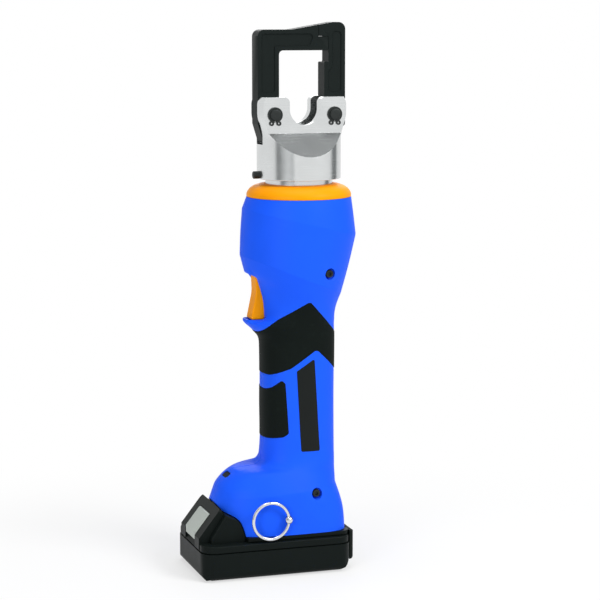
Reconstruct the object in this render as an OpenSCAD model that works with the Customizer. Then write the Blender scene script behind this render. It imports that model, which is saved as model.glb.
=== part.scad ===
// Hand-held hydraulic crimping tool with a hinged, latching head and a slide-on battery pack.
// Millimetres. +Z runs up the tool, the trigger faces -X, and the floor is Z = 0.
// Places are counted from the head's axis, which stands axis_x behind the origin.

/* [Battery] */
// Length of the pack
battery_l = 111; // [106:0.5:118]
// Width of the pack
battery_w = 75; // [72:0.5:80]
// Height of the pack's shoulders
battery_h = 25.5; // [24.5:0.1:28]
// Wall of the pack's cases
battery_wall = 2; // [1.6:0.1:2.4]
// Radius of a cell
cell_r = 9.1; // [8.6:0.05:9.2]
// Reach of the pack in front of the head's axis
front_reach = 82.5; // [78:0.5:86]
// Width of the release button
button_w = 25; // [20:0.5:28]
// Travel of the release button
button_travel = 3.5; // [2:0.25:4]

/* [Handle] */
// Height of the dark shoe that shows between pack and housing
shoe_show = 3.4; // [3.2:0.1:5]
// Height of the foot's upright sides
base_h = 30.6; // [28:0.2:34]
// Height of the foot's sloping top
foot_h = 13.5; // [11:0.5:16]
// Length of the handle from its foot to the trigger lip
grip_len = 76; // [72:0.5:88]
// Reach of the handle in front of the axis
grip_front = 28.4; // [27.5:0.1:31]
// Reach of the handle behind the axis
grip_rear = 25.2; // [24:0.1:28]
// Half the width of the handle
grip_half = 22.4; // [21.5:0.1:25]
// Step from the pack's side in to the foot's side
base_step = 3.5; // [2.8:0.1:5]
// Wall of the housing shells
shell_wall = 2.4; // [2:0.1:2.8]
// Depth of the rubber in the shells
rubber_t = 1.5; // [1:0.1:1.7]

/* [Body] */
// Opening for the trigger, from the lip to the body
trigger_gap = 32.2; // [30:0.2:36]
// Height of the undercut below the body's lower crease
undercut_h = 15.1; // [13:0.1:18]
// Height of the body between its two creases
belly_h = 33.2; // [30:0.2:38]
// Height of the shoulder under the nose ring
shoulder_h = 8.1; // [7:0.1:11]
// Half the width of the body at its upper crease
body_half = 40.5; // [39.5:0.1:44]
// Reach of the body in front of the axis
body_front = 42.8; // [41:0.1:46]
// Reach of the body behind the axis
body_rear = 41; // [40:0.1:45]
// Radius of the nose ring
ring_r = 37.5; // [36.5:0.1:40]
// Height of the nose ring
ring_h = 9.5; // [8.5:0.1:12]
// Width of the trigger
trigger_w = 13; // [11:0.5:15]

/* [Head] */
// Radius of the head's collar
collar_r = 30; // [29:0.1:32]
// Radius of the neck that the collar turns on
neck_r = 24; // [23:0.1:25]
// Radius of the cylinder bore
bore_r = 16; // [15:0.1:17]
// Radius of the ram's rod
rod_r = 11; // [10:0.1:11.5]
// Stroke of the ram
ram_stroke = 20; // [15:0.5:22]
// Distance between the two hinge pins
pin_span = 44.2; // [43:0.1:48]
// Radius of a hinge pin
pin_r = 4; // [3.4:0.05:4.4]
// Height of the pins above the collar's lower edge
pin_rise = 45.9; // [44:0.1:50]
// Thickness of the yoke and the latch arm
frame_t = 14; // [12:0.1:16]
// Thickness over the two ears of the fork
fork_t = 29; // [27:0.1:32]
// Radius of the fork's throat
throat_r = 11.2; // [10:0.1:12]
// Height of the crimping window above the pins
window_rise = 44.8; // [42:0.1:52]
// Height of the yoke's top bar
bar_h = 14.6; // [13:0.1:18]

/* [Drive] */
// Module of the planetary gears
gear_module = 0.6; // [0.55:0.01:0.62]
// Length of the motor can
motor_l = 56; // [50:0.5:58]
// Height of the pump block
pump_h = 50; // [48:0.5:54]

/* [Hidden] */
$fn = 48;

// Clearances and the overrun of cuts
run_gap = 0.05;
seat_gap = 0.1;
slip_gap = 0.3;
over = 2;

// Reaches along the tool's length
bat_rear = battery_l - front_reach;
heel_gap = 0.4;
heel_t = 4.6;
heel_reach = bat_rear + heel_gap + heel_t;
axis_x = (front_reach - body_rear) / 2;
bat_mid = (bat_rear - front_reach) / 2;

// Heights up the tool
base_z = battery_h + shoe_show;
crease_z = base_z + base_h;
foot_z = crease_z + foot_h;
foot_fillet = 11;
grip_z = foot_z + foot_fillet;
grip_top_z = grip_z + grip_len;
lip_rise = 20.2;
lip_z = grip_top_z + lip_rise;
ledge_z = lip_z + trigger_gap;
low_crease_z = ledge_z + undercut_h;
high_crease_z = low_crease_z + belly_h;
ring_z = high_crease_z + shoulder_h;
ring_top_z = ring_z + ring_h;
collar_gap = 3.5;
collar_z = ring_top_z + collar_gap;
pin_z = collar_z + pin_rise;
ear_rise = 12.3;
ear_z = pin_z + ear_rise;
window_z = pin_z + window_rise;
bar_z = window_z + bar_h;
latch_rise = 5.2;
latch_z = bar_z + latch_rise;

// Drive train, hung from the neck
neck_drop = 40.8;
neck_z = ring_z - neck_drop;
pump_z = neck_z - pump_h;
gear_h = 14;
gear_z = pump_z - gear_h;
flange_t = 4;
flange_z = gear_z - flange_t;
motor_z = flange_z - motor_l;
bell_h = 8;
bell_z = motor_z - bell_h;
motor_room = 2;
motor_r = grip_half - shell_wall - motor_room;

// Sections of the housing
base_half = battery_w / 2 - base_step;
nose_setback = 14.5;
base_front = front_reach - nose_setback;
toe_in = 3.2;
heel_in = 3;
side_in = 0.6;
foot_setback = 18;
foot_front = base_front - foot_setback;
foot_flare = 4.4;
foot_rise_share = 0.06;
grip_swell = 0.5;
lip_front = 41.5;
lip_swell = 1.7;
lip_half = grip_half + lip_swell;
lip_rise_share = 0.04;
lip_step = 0.4;
waist_front = 29;
ledge_front = 34.5;
ledge_edge_front = 39.7;
ledge_edge_h = 2.5;
ledge_half = 30.2;
ledge_rear_swell = 0.8;
edge_swell = 0.2;
low_rise_share = 0.4;
low_rear = 30;
low_in = 4;
low_half = body_half - low_in;
high_rise_share = 0.24;
high_front_in = 2;
belly_bulge = 0.3;
shoulder_bulge = 0.1;
foot_n = 2.2;
heel_n = 5.5;
grip_n = 2.4;
body_n = 2;
base_mid_share = 0.53;
foot_shares = [0.48, 0.26, 0.45];
fillet_shares = [0.17, 0.8, 0.3];
grip_mid_share = 0.5;
lip_shares = [[0.37, 0.1, 0.25], [0.64, 0.5, 0.5], [0.89, 0.97, 0.85]];
waist_shares = [0.53, 0.23, 0.24];
shoulder_share = 0.6;
shell_sides = 22;
cavity_sides = 14;

function mix(a, b, t) = a + (b - a) * t;
function unit(v) = v / norm(v);

// A section holds: height on the axis, rise towards the front, front, rear, half width, cavity front,
// roundness in front and behind
core_front = grip_front - shell_wall;
low_axis_z = low_crease_z - low_rise_share * body_front;
high_front = body_front - high_front_in;
high_axis_z = high_crease_z - high_rise_share * high_front;
ledge_axis_z = ledge_z - low_rise_share * ledge_front;
edge_axis_z = ledge_z + ledge_edge_h - low_rise_share * ledge_edge_front;
base_bottom = [base_z, 0, base_front, bat_rear, base_half, base_front - shell_wall, foot_n, heel_n];
base_crease = [
    crease_z, -foot_rise_share, base_front - toe_in, bat_rear - heel_in, base_half - side_in,
    base_front - toe_in - shell_wall, foot_n, grip_n];
foot_top = [
    foot_z, 0, foot_front, grip_rear, grip_half + foot_flare, foot_front - foot_setback, grip_n, grip_n];
grip_foot = [
    grip_z, 0, grip_front + grip_swell, grip_rear, grip_half + grip_swell, core_front, grip_n, grip_n];
grip_head = [grip_top_z, 0, grip_front, grip_rear, grip_half, core_front, grip_n, grip_n];
lip_top = [lip_z, lip_rise_share, lip_front, grip_rear, lip_half, core_front, body_n, grip_n];
lip_back = [
    lip_z + lip_step, lip_rise_share, waist_front, grip_rear, lip_half + edge_swell, core_front,
    body_n, grip_n];
ledge_low = [
    ledge_axis_z, low_rise_share, ledge_front, grip_rear + ledge_rear_swell, ledge_half, core_front,
    body_n, body_n];
ledge_edge = [
    edge_axis_z, low_rise_share, ledge_edge_front, grip_rear + ledge_rear_swell + edge_swell,
    ledge_half + edge_swell, core_front, body_n, body_n];
low_crease = [
    low_axis_z, low_rise_share, body_front, low_rear, low_half, body_front - shell_wall, body_n, body_n];
high_crease = [
    high_axis_z, high_rise_share, high_front, body_rear, body_half, high_front - shell_wall, body_n,
        body_n];
ring_seat = [ring_z, 0, ring_r, ring_r, ring_r, ring_r - shell_wall, body_n, body_n];

function bulged(s, by) = s + [0, 0, by, by, by, by, 0, 0];
function shaped(a, b, shares) = [
    mix(a[0], b[0], shares[0]), mix(a[1], b[1], shares[0]), mix(a[2], b[2], shares[1]),
    mix(a[3], b[3], shares[1]), mix(a[4], b[4], shares[2]), mix(a[5], b[5], shares[1]),
    mix(a[6], b[6], shares[0]), mix(a[7], b[7], shares[0])];

foot_shoulder = shaped(base_crease, foot_top, foot_shares);
shell_sections = [
    base_bottom,
    mix(base_bottom, [crease_z, 0, base_front, bat_rear, base_half, base_front - shell_wall, foot_n,
        grip_n],
        base_mid_share),
    base_crease,
    foot_shoulder,
    foot_top,
    shaped(foot_top, grip_foot, fillet_shares),
    grip_foot,
    mix(bulged(grip_foot, -grip_swell), grip_head, grip_mid_share),
    grip_head,
    shaped(grip_head, lip_top, lip_shares[0]),
    shaped(grip_head, lip_top, lip_shares[1]),
    shaped(grip_head, lip_top, lip_shares[2]),
    lip_top,
    lip_back,
    shaped(lip_back, ledge_low, waist_shares),
    ledge_low,
    ledge_edge,
    low_crease,
    bulged(mix(low_crease, high_crease, grip_mid_share), belly_bulge),
    high_crease,
    bulged(mix(high_crease, ring_seat, shoulder_share), shoulder_bulge),
    ring_seat];
shell_creases = [1, 0, 1, 0, 1, 0, 0, 0, 0, 0, 0, 0, 1, 1, 0, 1, 1, 1, 0, 1, 0, 1];
shell_steps = [1, 1, 2, 2, 3, 3, 2, 2, 2, 2, 2, 2, 1, 2, 2, 1, 3, 3, 3, 2, 2];
first_grip = 6;
last_pad = 8;
last_band = 16;

// Smooth curve through the sections, which breaks its slope only at the creases
function section_slope(i) =
    (shell_sections[i + 1] - shell_sections[i - 1]) / (shell_sections[i + 1][0] - shell_sections[i - 1][0]);
function chord(i) =
    (shell_sections[i + 1] - shell_sections[i]) / (shell_sections[i + 1][0] - shell_sections[i][0]);
function eased(a, b, ma, mb, t) =
    (2 * t ^ 3 - 3 * t ^ 2 + 1) * a + (t ^ 3 - 2 * t ^ 2 + t) * (b[0] - a[0]) * ma
    + (3 * t ^ 2 - 2 * t ^ 3) * b + (t ^ 3 - t ^ 2) * (b[0] - a[0]) * mb;
function rings_between(first, last, fine) = [
    for (i = [first:last - 1])
        let (a = shell_sections[i], b = shell_sections[i + 1],
             ma = shell_creases[i] ? chord(i) : section_slope(i),
             mb = shell_creases[i + 1] ? chord(i) : section_slope(i + 1),
             n = fine ? shell_steps[i] : 1)
        for (k = [0:n - 1]) eased(a, b, ma, mb, k / n),
    shell_sections[last]];
function ring_point(s, t, grow) =
    let (c = cos(t), q = sin(t), mid = (s[3] - s[2]) / 2, n = c < 0 ? s[6] : s[7],
         x = mid + sign(c) * ((s[2] + s[3]) / 2 + grow) * pow(abs(c), 2 / n),
         y = sign(q) * (s[4] + grow) * pow(abs(q), 2 / n))
    [x, y, s[0] - s[1] * x];
function cavity(s) = [s[0], s[1], s[5], s[3] - shell_wall, s[4] - shell_wall, s[5], s[6], s[7]];

// Triangles of a grid of points, rows of n + 1 points, with the outside on the chosen side
function grid_faces(rows, n, start, flip) = [
    for (j = [0:rows - 2]) for (i = [0:n - 1])
        let (a = start + j * (n + 1) + i, b = a + 1, c = b + n + 1, d = a + n + 1)
        each flip ? [[a, b, c], [a, c, d]] : [[a, d, c], [a, c, b]]];
function row(start, n, j) = [for (i = [0:n]) start + j * (n + 1) + i];
function column(start, n, rows, i) = [for (j = [0:rows - 1]) start + j * (n + 1) + i];
function reversed(v) = [for (i = [len(v) - 1:-1:0]) v[i]];

// Triangles of a strip between two rows of points: each outer edge meets the inner point that its entry in
// meets names, and each inner edge meets the outer point reached by then
function strip_faces(outer, inner, meets, flip) = [
    for (i = [0:len(outer) - 2])
        flip ? [outer[i + 1], outer[i], inner[meets[i]]] : [outer[i], outer[i + 1], inner[meets[i]]],
    for (k = [0:len(inner) - 2])
        let (i = len([for (m = meets) if (m <= k) m]))
        flip ? [inner[k], inner[k + 1], outer[i]] : [inner[k + 1], inner[k], outer[i]]];

// One half of the housing as a closed wall, on the +Y side of the parting plane
module half_wall() {
    outside = rings_between(0, len(shell_sections) - 1, true);
    inside = [for (s = rings_between(0, len(shell_sections) - 1, false)) cavity(s)];
    rows = len(outside);
    low = rows * (shell_sides + 1);
    deep = len(inside);
    points = concat(
        [for (s = outside) for (k = [0:shell_sides]) ring_point(s, 180 * k / shell_sides, 0)],
        [for (s = inside) for (k = [0:cavity_sides]) ring_point(s, 180 * k / cavity_sides, 0)]);
    round_meets = [for (i = [0:shell_sides - 1]) floor((i + 0.5) / shell_sides * cavity_sides + 0.5)];
    tall_meets = [for (i = [0:len(shell_steps) - 1]) for (k = [0:shell_steps[i] - 1])
        k < shell_steps[i] / 2 ? i : i + 1];
    polyhedron(points, concat(
        grid_faces(rows, shell_sides, 0, false),
        grid_faces(deep, cavity_sides, low, true),
        strip_faces(row(0, shell_sides, 0), row(low, cavity_sides, 0), round_meets, false),
        strip_faces(row(0, shell_sides, rows - 1), row(low, cavity_sides, deep - 1), round_meets, true),
        strip_faces(column(0, shell_sides, rows, shell_sides), column(low, cavity_sides, deep,
            cavity_sides),
            tall_meets, false),
        strip_faces(column(0, shell_sides, rows, 0), column(low, cavity_sides, deep, 0), tall_meets,
            true)));
}

// The whole space inside one half of the skin, which trims the screw bosses
module half_solid() {
    outside = rings_between(0, len(shell_sections) - 1, true);
    rows = len(outside);
    n = shell_sides;
    polyhedron(
        [for (s = outside) for (k = [0:n]) ring_point(s, 180 * k / n, 0)],
        concat(
            grid_faces(rows, n, 0, false), [row(0, n, 0)], [reversed(row(0, n, rows - 1))],
            [for (j = [0:rows - 2]) let (a = j * (n + 1), b = a + n + 1)
                each [[b, a, a + n], [b, a + n, b + n]]]));
}

// A layer of the handle's surface on the +Y side, running a little past the parting plane
layer_angle = 6;
module surface_layer(first, last, grow, sink) {
    rings = rings_between(first, last, true);
    rows = len(rings);
    n = shell_sides;
    low = rows * (n + 1);
    turn = (180 + 2 * layer_angle) / n;
    points = concat(
        [for (s = rings) for (k = [0:n]) ring_point(s, turn * k - layer_angle, grow)],
        [for (s = rings) for (k = [0:n]) ring_point(s, turn * k - layer_angle, -sink)]);
    ends = [for (j = [0:rows - 2]) for (i = [0, n])
        let (a = j * (n + 1) + i, b = a + n + 1)
        each i == 0 ? [[a, low + a, low + b], [a, low + b, b]] : [[a, b, low + b], [a, low + b, low + a]]];
    caps = [for (j = [0, rows - 1]) for (i = [0:n - 1])
        let (a = j * (n + 1) + i, b = a + 1)
        each j == 0 ? [[a, b, low + b], [a, low + b, low + a]] : [[a, low + b, b], [a, low + a, low + b]]];
    polyhedron(points, concat(
        grid_faces(rows, n, 0, false), grid_faces(rows, n, low, true), ends, caps));
}

// Outlines in the XZ plane: each point holds x, z and its corner's radius
corner_steps = 4;
function corner_arc(a, b, c, r) =
    let (u = unit(a - b), v = unit(c - b), half = acos(u * v) / 2,
         centre = b + unit(u + v) * r / sin(half),
         p = (b + u * r / tan(half) - centre) / r, q = (b + v * r / tan(half) - centre) / r,
         turn = acos(p * q))
    [for (k = [0:corner_steps]) let (s = k / corner_steps)
        centre + r * (p * sin((1 - s) * turn) + q * sin(s * turn)) / sin(turn)];
function flat_point(p) = [p[0], p[1]];
function rounded(pts) = [
    for (i = [0:len(pts) - 1])
        let (n = len(pts), a = flat_point(pts[(i + n - 1) % n]), b = flat_point(pts[i]),
             c = flat_point(pts[(i + 1) % n]))
        each pts[i][2] > 0 ? corner_arc(a, b, c, pts[i][2]) : [b]];
module at_axis() translate([axis_x, 0, 0]) children();
module y_rod(r, l) rotate([90, 0, 0]) cylinder(r = r, h = l, center = true);
module xz_plate(pts, w) rotate([90, 0, 0]) linear_extrude(w, center = true) polygon(pts);
module yz_bar(pts, x0, x1) translate([x0, 0, 0]) rotate([90, 0, 90]) linear_extrude(x1 - x0) polygon(pts);
module block(x0, x1, w, z0, z1) translate([x0, -w / 2, z0]) cube([x1 - x0, w, z1 - z0]);
module both_sides() {
    children();
    mirror([0, 1, 0]) children();
}

// A plan outline with round corners, from x0 to x1
module round_plan(x0, x1, w, r) {
    translate([x0 + r, -w / 2]) square([x1 - x0 - 2 * r, w]);
    translate([x0, r - w / 2]) square([x1 - x0, w - 2 * r]);
    for (x = [x0 + r, x1 - r]) for (y = [r - w / 2, w / 2 - r]) translate([x, y]) circle(r);
}

// A coil spring that stands on Z = 0
coil_rings = 8;
coil_sides = 6;
module coil_spring(mean_r, wire_r, height, turns) {
    n = turns * coil_rings;
    points = [
        for (i = [0:n]) for (k = [0:coil_sides - 1])
            let (a = 360 * i / coil_rings, b = 360 * k / coil_sides, r = mean_r + wire_r * cos(b))
            [r * cos(a), r * sin(a), wire_r + (height - 2 * wire_r) * i / n + wire_r * sin(b)]];
    sides = [for (i = [0:n - 1]) for (k = [0:coil_sides - 1])
        let (a = i * coil_sides + k, b = i * coil_sides + (k + 1) % coil_sides)
        each [[a, b, b + coil_sides], [a, b + coil_sides, a + coil_sides]]];
    ends = [for (k = [1:coil_sides - 2])
        each [[0, k + 1, k], [n * coil_sides, n * coil_sides + k, n * coil_sides + k + 1]]];
    polyhedron(points, concat(sides, ends));
}

// Rubber band and pad outlines on the handle's side, as shares of the handle's length and depth
handle_depth = grip_front + grip_rear;
function on_handle(s) = [mix(-grip_front, grip_rear, s[0]), mix(grip_z, grip_top_z, s[1]),
    s[2] * handle_depth];
band_shares = [
    [-0.4, 0.765, 0], [0.05, 0.765, 0.06], [0.29, 0.83, 0.1], [0.65, 1.003, 0.06], [1.0, 0.776, 0],
    [1.4, 0.776, 0], [1.4, 1.13, 0], [1.0, 1.13, 0], [0.52, 1.475, 0.05], [0.01, 1.249, 0],
    [-0.1, 1.165, 0], [-0.4, 1.165, 0]];
pad_shares = [
    [-0.4, 0.145, 0], [0.0, 0.15, 0], [0.2, 0.175, 0.07], [0.268, 0.21, 0.05], [0.225, 0.69, 0.03],
    [0.18, 0.722, 0.03], [0.07, 0.65, 0.1], [0, 0.62, 0], [-0.4, 0.62, 0]];
band_outline = rounded([for (s = band_shares) on_handle(s)]);
pad_outline = rounded([for (s = pad_shares) on_handle(s)]);

// Screws that close the shells
screw_r = 1.5;
screw_head_r = 2.9;
screw_head_h = 2.2;
screw_sink = 7;
recess_r = 4.2;
boss_r = 5.6;
low_screw_x = 3.8;
low_screw_drop = 2.4;
low_screw_z = crease_z - low_screw_drop;
high_screw_x = 12.6;
high_screw_rise = 3.6;
high_screw_z = ledge_z + high_screw_rise;
socket_share = 0.55;
pump_r = 28;
high_screw_seat = sqrt(pump_r ^ 2 - high_screw_x ^ 2);
high_screw_l = 12;
high_head_y = low_half - screw_sink;
low_head_y = base_half - screw_sink;
low_screw_end = base_half - 2 * shell_wall;

module screw(length) {
    difference() {
        union() {
            cylinder(r = screw_head_r, h = screw_head_h);
            translate([0, 0, -length]) cylinder(r = screw_r, h = length);
        }
        translate([0, 0, screw_head_h / 2])
            cylinder(r = screw_head_r * socket_share, h = screw_head_h, $fn = 6);
    }
}

// Cuts of the battery's raised nose out of the foot, as shares of the nose's length and height
nose_root = 48.4;
nose_span = base_front - nose_root;
nose_rise = 25.1;
nose_back_shares = [
    [0, 0], [0.1, 0.27], [0.2, 0.434], [0.337, 0.542], [0.515, 0.614], [0.745, 0.693], [0.9, 0.88],
    [1.2, 1.16]];
nose_back_top = 6;
function nose_back(gap) = [
    for (s = nose_back_shares) [-nose_root - nose_span * s[0] - gap, base_z + nose_rise * s[1] - gap]];

// Trigger places
trigger_lift = 1.4;
trigger_low_z = lip_z + trigger_lift;
trigger_front = 37.8;
trigger_top_front = 34.4;
trigger_waist = 33.8;
trigger_back = 25.6;
trigger_top_h = 2;
trigger_pivot_x = 27;
trigger_pivot_drop = 3.9;
trigger_pivot_z = ledge_z - trigger_pivot_drop;
trigger_pin_r = 1.5;
trigger_pin_l = 26;
slot_front = 36.5;
slot_back = 20;
slot_top_h = 4.1;
slot_low_gap = 1.9;
slot_toe_gap = 1.6;
lip_rim_h = 2;

// Work light in the sloping front of the foot
light_w = 12;
light_h = 5;
light_t = 4;
light_share = 0.5;
light_x = mix(foot_shoulder[2], foot_front, light_share);
light_z = mix(foot_shoulder[0], foot_z, light_share);
light_tilt = atan2(foot_z - foot_shoulder[0], foot_shoulder[2] - foot_front);
module at_light() translate([-light_x, 0, light_z]) rotate([0, -light_tilt, 0]) children();
module light_shape(grow, t)
    linear_extrude(t) {
        square([light_h + 2 * grow, light_w - light_h], center = true);
        for (y = [-1, 1]) translate([0, y * (light_w - light_h) / 2]) circle(light_h / 2 + grow);
    }

// Lanyard stud and ring on the left side of the foot
wire_r = 1.2;
lanyard_r = 13.1;
lanyard_lift = 1.4;
lanyard_z = battery_h + lanyard_lift + lanyard_r + wire_r;
stud_in = 0.3;
stud_x = (base_front - bat_rear) / 2 - stud_in;
bead_r = 3.05;
bead_out = 3.4;
bead_y = base_half + bead_out;
stud_r = 2;
stud_nut_r = 4;
stud_nut_t = 2;
eye_r = 1.75;

module shell_cuts() {
    xz_plate(concat(nose_back(0), [[-front_reach, base_z + nose_rise], [-front_reach, base_z - over],
        [-nose_root, base_z - over]]), battery_w);
    block(-front_reach, -slot_back, trigger_w + 2 * slip_gap, lip_z + lip_rim_h, ledge_z);
    block(-trigger_front - slot_toe_gap, -slot_back, trigger_w + 2 * slip_gap, trigger_low_z - slot_low_gap,
        ledge_z);
    block(-slot_front, -slot_back, trigger_w + 2 * slip_gap, ledge_z - over, ledge_z + slot_top_h);
    translate([-trigger_pivot_x, 0, trigger_pivot_z]) y_rod(trigger_pin_r + run_gap,
        trigger_pin_l + run_gap);
    at_light() translate([0, 0, -light_t - over]) light_shape(seat_gap, light_t + 2 * over);
    translate([high_screw_x, 0, high_screw_z]) y_rod(screw_r + run_gap, 2 * body_half);
    translate([low_screw_x, 0, low_screw_z]) y_rod(screw_r + run_gap, 2 * low_screw_end);
    both_sides() translate([high_screw_x, high_head_y, high_screw_z]) rotate([-90, 0, 0])
        cylinder(r = recess_r, h = body_half);
    translate([low_screw_x, -low_head_y, low_screw_z]) rotate([90, 0, 0])
        cylinder(r = recess_r, h = base_half);
    translate([-stud_x, -base_half, lanyard_z]) y_rod(stud_r + run_gap, base_half);
    translate([0, 0, pump_z + pump_low_h]) cylinder(r = pump_r + seat_gap, h = pump_h - pump_low_h);
}

module half_shell(side) {
    difference() {
        union() {
            scale_side(side) {
                half_wall();
                intersection() {
                    half_solid();
                    union() {
                        translate([low_screw_x, 0, low_screw_z]) rotate([-90, 0, 0])
                            cylinder(r = boss_r, h = base_half);
                        translate([high_screw_x, high_screw_seat, high_screw_z]) rotate([-90, 0, 0])
                            cylinder(r = boss_r, h = low_half - high_screw_seat);
                    }
                }
            }
        }
        shell_cuts();
        scale_side(side) {
            intersection() {
                surface_layer(last_pad, last_band, over, rubber_t);
                xz_plate(band_outline, battery_w + over);
            }
            intersection() {
                surface_layer(first_grip, last_pad, over, rubber_t);
                xz_plate(pad_outline, battery_w + over);
            }
        }
    }
}
module scale_side(side)
    if (side < 0) mirror([0, 1, 0]) children();
    else children();
module left_shell() at_axis() color("royalblue") half_shell(-1);
module right_shell() at_axis() color("royalblue") half_shell(1);

module rubber(side, first, last, outline)
    scale_side(side) intersection() {
        surface_layer(first, last, 0, rubber_t);
        xz_plate(outline, battery_w + over);
        translate([-front_reach, 0, 0]) cube([2 * front_reach, battery_w, ring_z]);
    }
module left_grip_band() at_axis() color("#15191a") rubber(-1, last_pad, last_band, band_outline);
module right_grip_band() at_axis() color("#15191a") rubber(1, last_pad, last_band, band_outline);
module left_grip_pad() at_axis() color("#15191a") rubber(-1, first_grip, last_pad, pad_outline);
module right_grip_pad() at_axis() color("#15191a") rubber(1, first_grip, last_pad, pad_outline);

module shell_screws() at_axis() color("#3a3d40") {
    both_sides() translate([high_screw_x, high_head_y, high_screw_z]) rotate([-90, 0,
        0]) screw(high_screw_l);
    translate([low_screw_x, -low_head_y, low_screw_z]) rotate([90, 0, 0]) screw(low_head_y +
        low_screw_end - over);
}

// Yellow ring that crowns the shells and holds their tops together
ring_lip_h = 5;
ring_lip_t = 3;
ring_crown_shares = [
    [1, 0], [1, 0.2], [0.955, 0.38], [0.87, 0.54], [0.75, 0.7], [0.58, 0.83], [0.36, 0.93], [0, 1]];
module nose_ring() at_axis() color("#ffb200") rotate_extrude()
    polygon(concat(
        [for (s = ring_crown_shares) [mix(neck_r + slip_gap, ring_r, s[0]), ring_z + ring_h * s[1]]],
        [[neck_r + slip_gap, ring_z - ring_lip_h], [ring_r - shell_wall - ring_lip_t, ring_z - ring_lip_h],
         [ring_r - shell_wall - slip_gap, ring_z - ring_lip_h], [ring_r - shell_wall - slip_gap, ring_z]]));

module work_light() at_axis() color("#c9d4d8") at_light() translate([0, 0, -light_t]) light_shape(0,
    light_t - over / 2);

// Shoe with the rails that carry the pack
shoe_inset = 8;
shoe_plate_half = base_half - shoe_inset;
rail_t = 2;
deck_half = shoe_plate_half - rail_t;
rail_hook = 3.5;
deck_stem = deck_half - rail_hook;
deck_h = 5.5;
flange_low = 2.5;
deck_z = battery_h + deck_h;
shoe_step = 0.5;
shoe_half = base_half - shoe_step;
shoe_plate_t = 2.8;
shoe_plate_front = 44;
shoe_plate_rear = 15;
shoe_ledge = 8;
shoe_window_half = shoe_plate_half - shoe_ledge;
shoe_window_rear = 11;
shoe_corner_r = 8;
shoe_top_z = deck_z + slip_gap + shoe_plate_t;
shoe_side = [
    [deck_stem + slip_gap, battery_h + slip_gap], [shoe_half, battery_h + slip_gap], [shoe_half,
        base_z - seat_gap],
    [deck_half + slip_gap, base_z - seat_gap], [deck_half + slip_gap, battery_h + flange_low - slip_gap],
    [deck_stem + slip_gap, battery_h + flange_low - slip_gap]];
shoe_bridge = [
    [deck_half + slip_gap, base_z - seat_gap - over / 2], [shoe_plate_half, base_z - seat_gap - over / 2],
    [shoe_plate_half, shoe_top_z], [0, shoe_top_z], [0, deck_z + slip_gap], [deck_half + slip_gap,
        deck_z + slip_gap]];
module battery_shoe() at_axis() color("#17191a") difference() {
    intersection() {
        both_sides() {
            yz_bar(shoe_side, -nose_root, bat_rear + heel_gap);
            yz_bar(shoe_bridge, -shoe_plate_front, shoe_plate_rear);
        }
        linear_extrude(shoe_top_z + over)
            round_plan(-front_reach, bat_rear + heel_gap, 2 * shoe_half, shoe_corner_r);
    }
    block(-shoe_plate_front - over, shoe_window_rear, 2 * shoe_window_half, deck_z, shoe_top_z + over);
}

// Guard behind the pack, fixed to the shoe's end
heel_low_z = 6.5;
heel_drop = 1;
heel_side = 6.5;
heel_round = 3;
heel_w = battery_w - 2 * heel_side;
heel_corner_r = 8;
module heel_guard() at_axis() color("#17191a") intersection() {
    linear_extrude(base_z) round_plan(0, heel_reach, heel_w, heel_corner_r);
    xz_plate(rounded([
        [bat_rear + heel_gap, heel_low_z, 0], [heel_reach, heel_low_z, heel_round],
        [heel_reach, base_z - heel_drop, heel_round], [bat_rear + heel_gap, base_z - heel_drop, 0]]),
        heel_w);
}

// Electrics in the foot
terminal_step = 1;
terminal_half = shoe_window_half - terminal_step;
terminal_front = 36;
terminal_rear = 7;
terminal_h = 8;
terminal_rim = 3;
terminal_rim_h = 2;
post_r = 2;
post_h = 4;
post_in = 4;
post_y = terminal_half - post_in;
terminal_top_z = shoe_top_z + terminal_rim_h + terminal_h;
board_t = 1.6;
board_lap = 2;
board_half = terminal_half + board_lap;
module terminal_block() at_axis() color("#26292b") {
    block(-terminal_front - terminal_rim, terminal_rear + terminal_rim, 2 * (shoe_window_half +
        terminal_rim / 2),
        shoe_top_z, shoe_top_z + terminal_rim_h);
    block(-terminal_front, terminal_rear, 2 * terminal_half, shoe_top_z, terminal_top_z);
    for (x = [-terminal_front + terminal_rim, terminal_rear - 2 * terminal_rim]) for (y = [-post_y, post_y])
        translate([x, y, terminal_top_z]) cylinder(r = post_r, h = post_h);
}
module control_board() at_axis() color("darkgreen") translate([0, 0, terminal_top_z + post_h]) {
    block(-terminal_front, terminal_rear - terminal_rim, 2 * board_half, 0, board_t);
    for (y = [-post_y, post_y]) translate([-terminal_front + 2 * terminal_rim, y, board_t])
        cylinder(r = 2 * post_r, h = post_h);
    block(-terminal_half, -post_y, 2 * post_y, board_t, board_t + post_r);
}

module lanyard_stud() at_axis() color("silver") translate([-stud_x, 0, lanyard_z]) {
    difference() {
        union() {
            translate([0, -bead_y, 0]) sphere(bead_r);
            translate([0, -bead_y + bead_r - over / 2, 0]) rotate([-90, 0, 0])
                cylinder(r = stud_r, h = bead_y - bead_r + over / 2 - base_half + 2 * shell_wall +
                    stud_nut_t);
        }
        translate([0, -bead_y, -bead_r - over]) cylinder(r = eye_r, h = 2 * (bead_r + over));
    }
    translate([0, -base_half + shell_wall + slip_gap, 0]) rotate([-90, 0, 0])
        cylinder(r = stud_nut_r, h = stud_nut_t);
}
module lanyard_ring() at_axis() color("silver") translate([-stud_x - lanyard_r, -bead_y, lanyard_z])
    rotate([90, 0, 0]) rotate_extrude() translate([lanyard_r, 0]) circle(wire_r);

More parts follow.
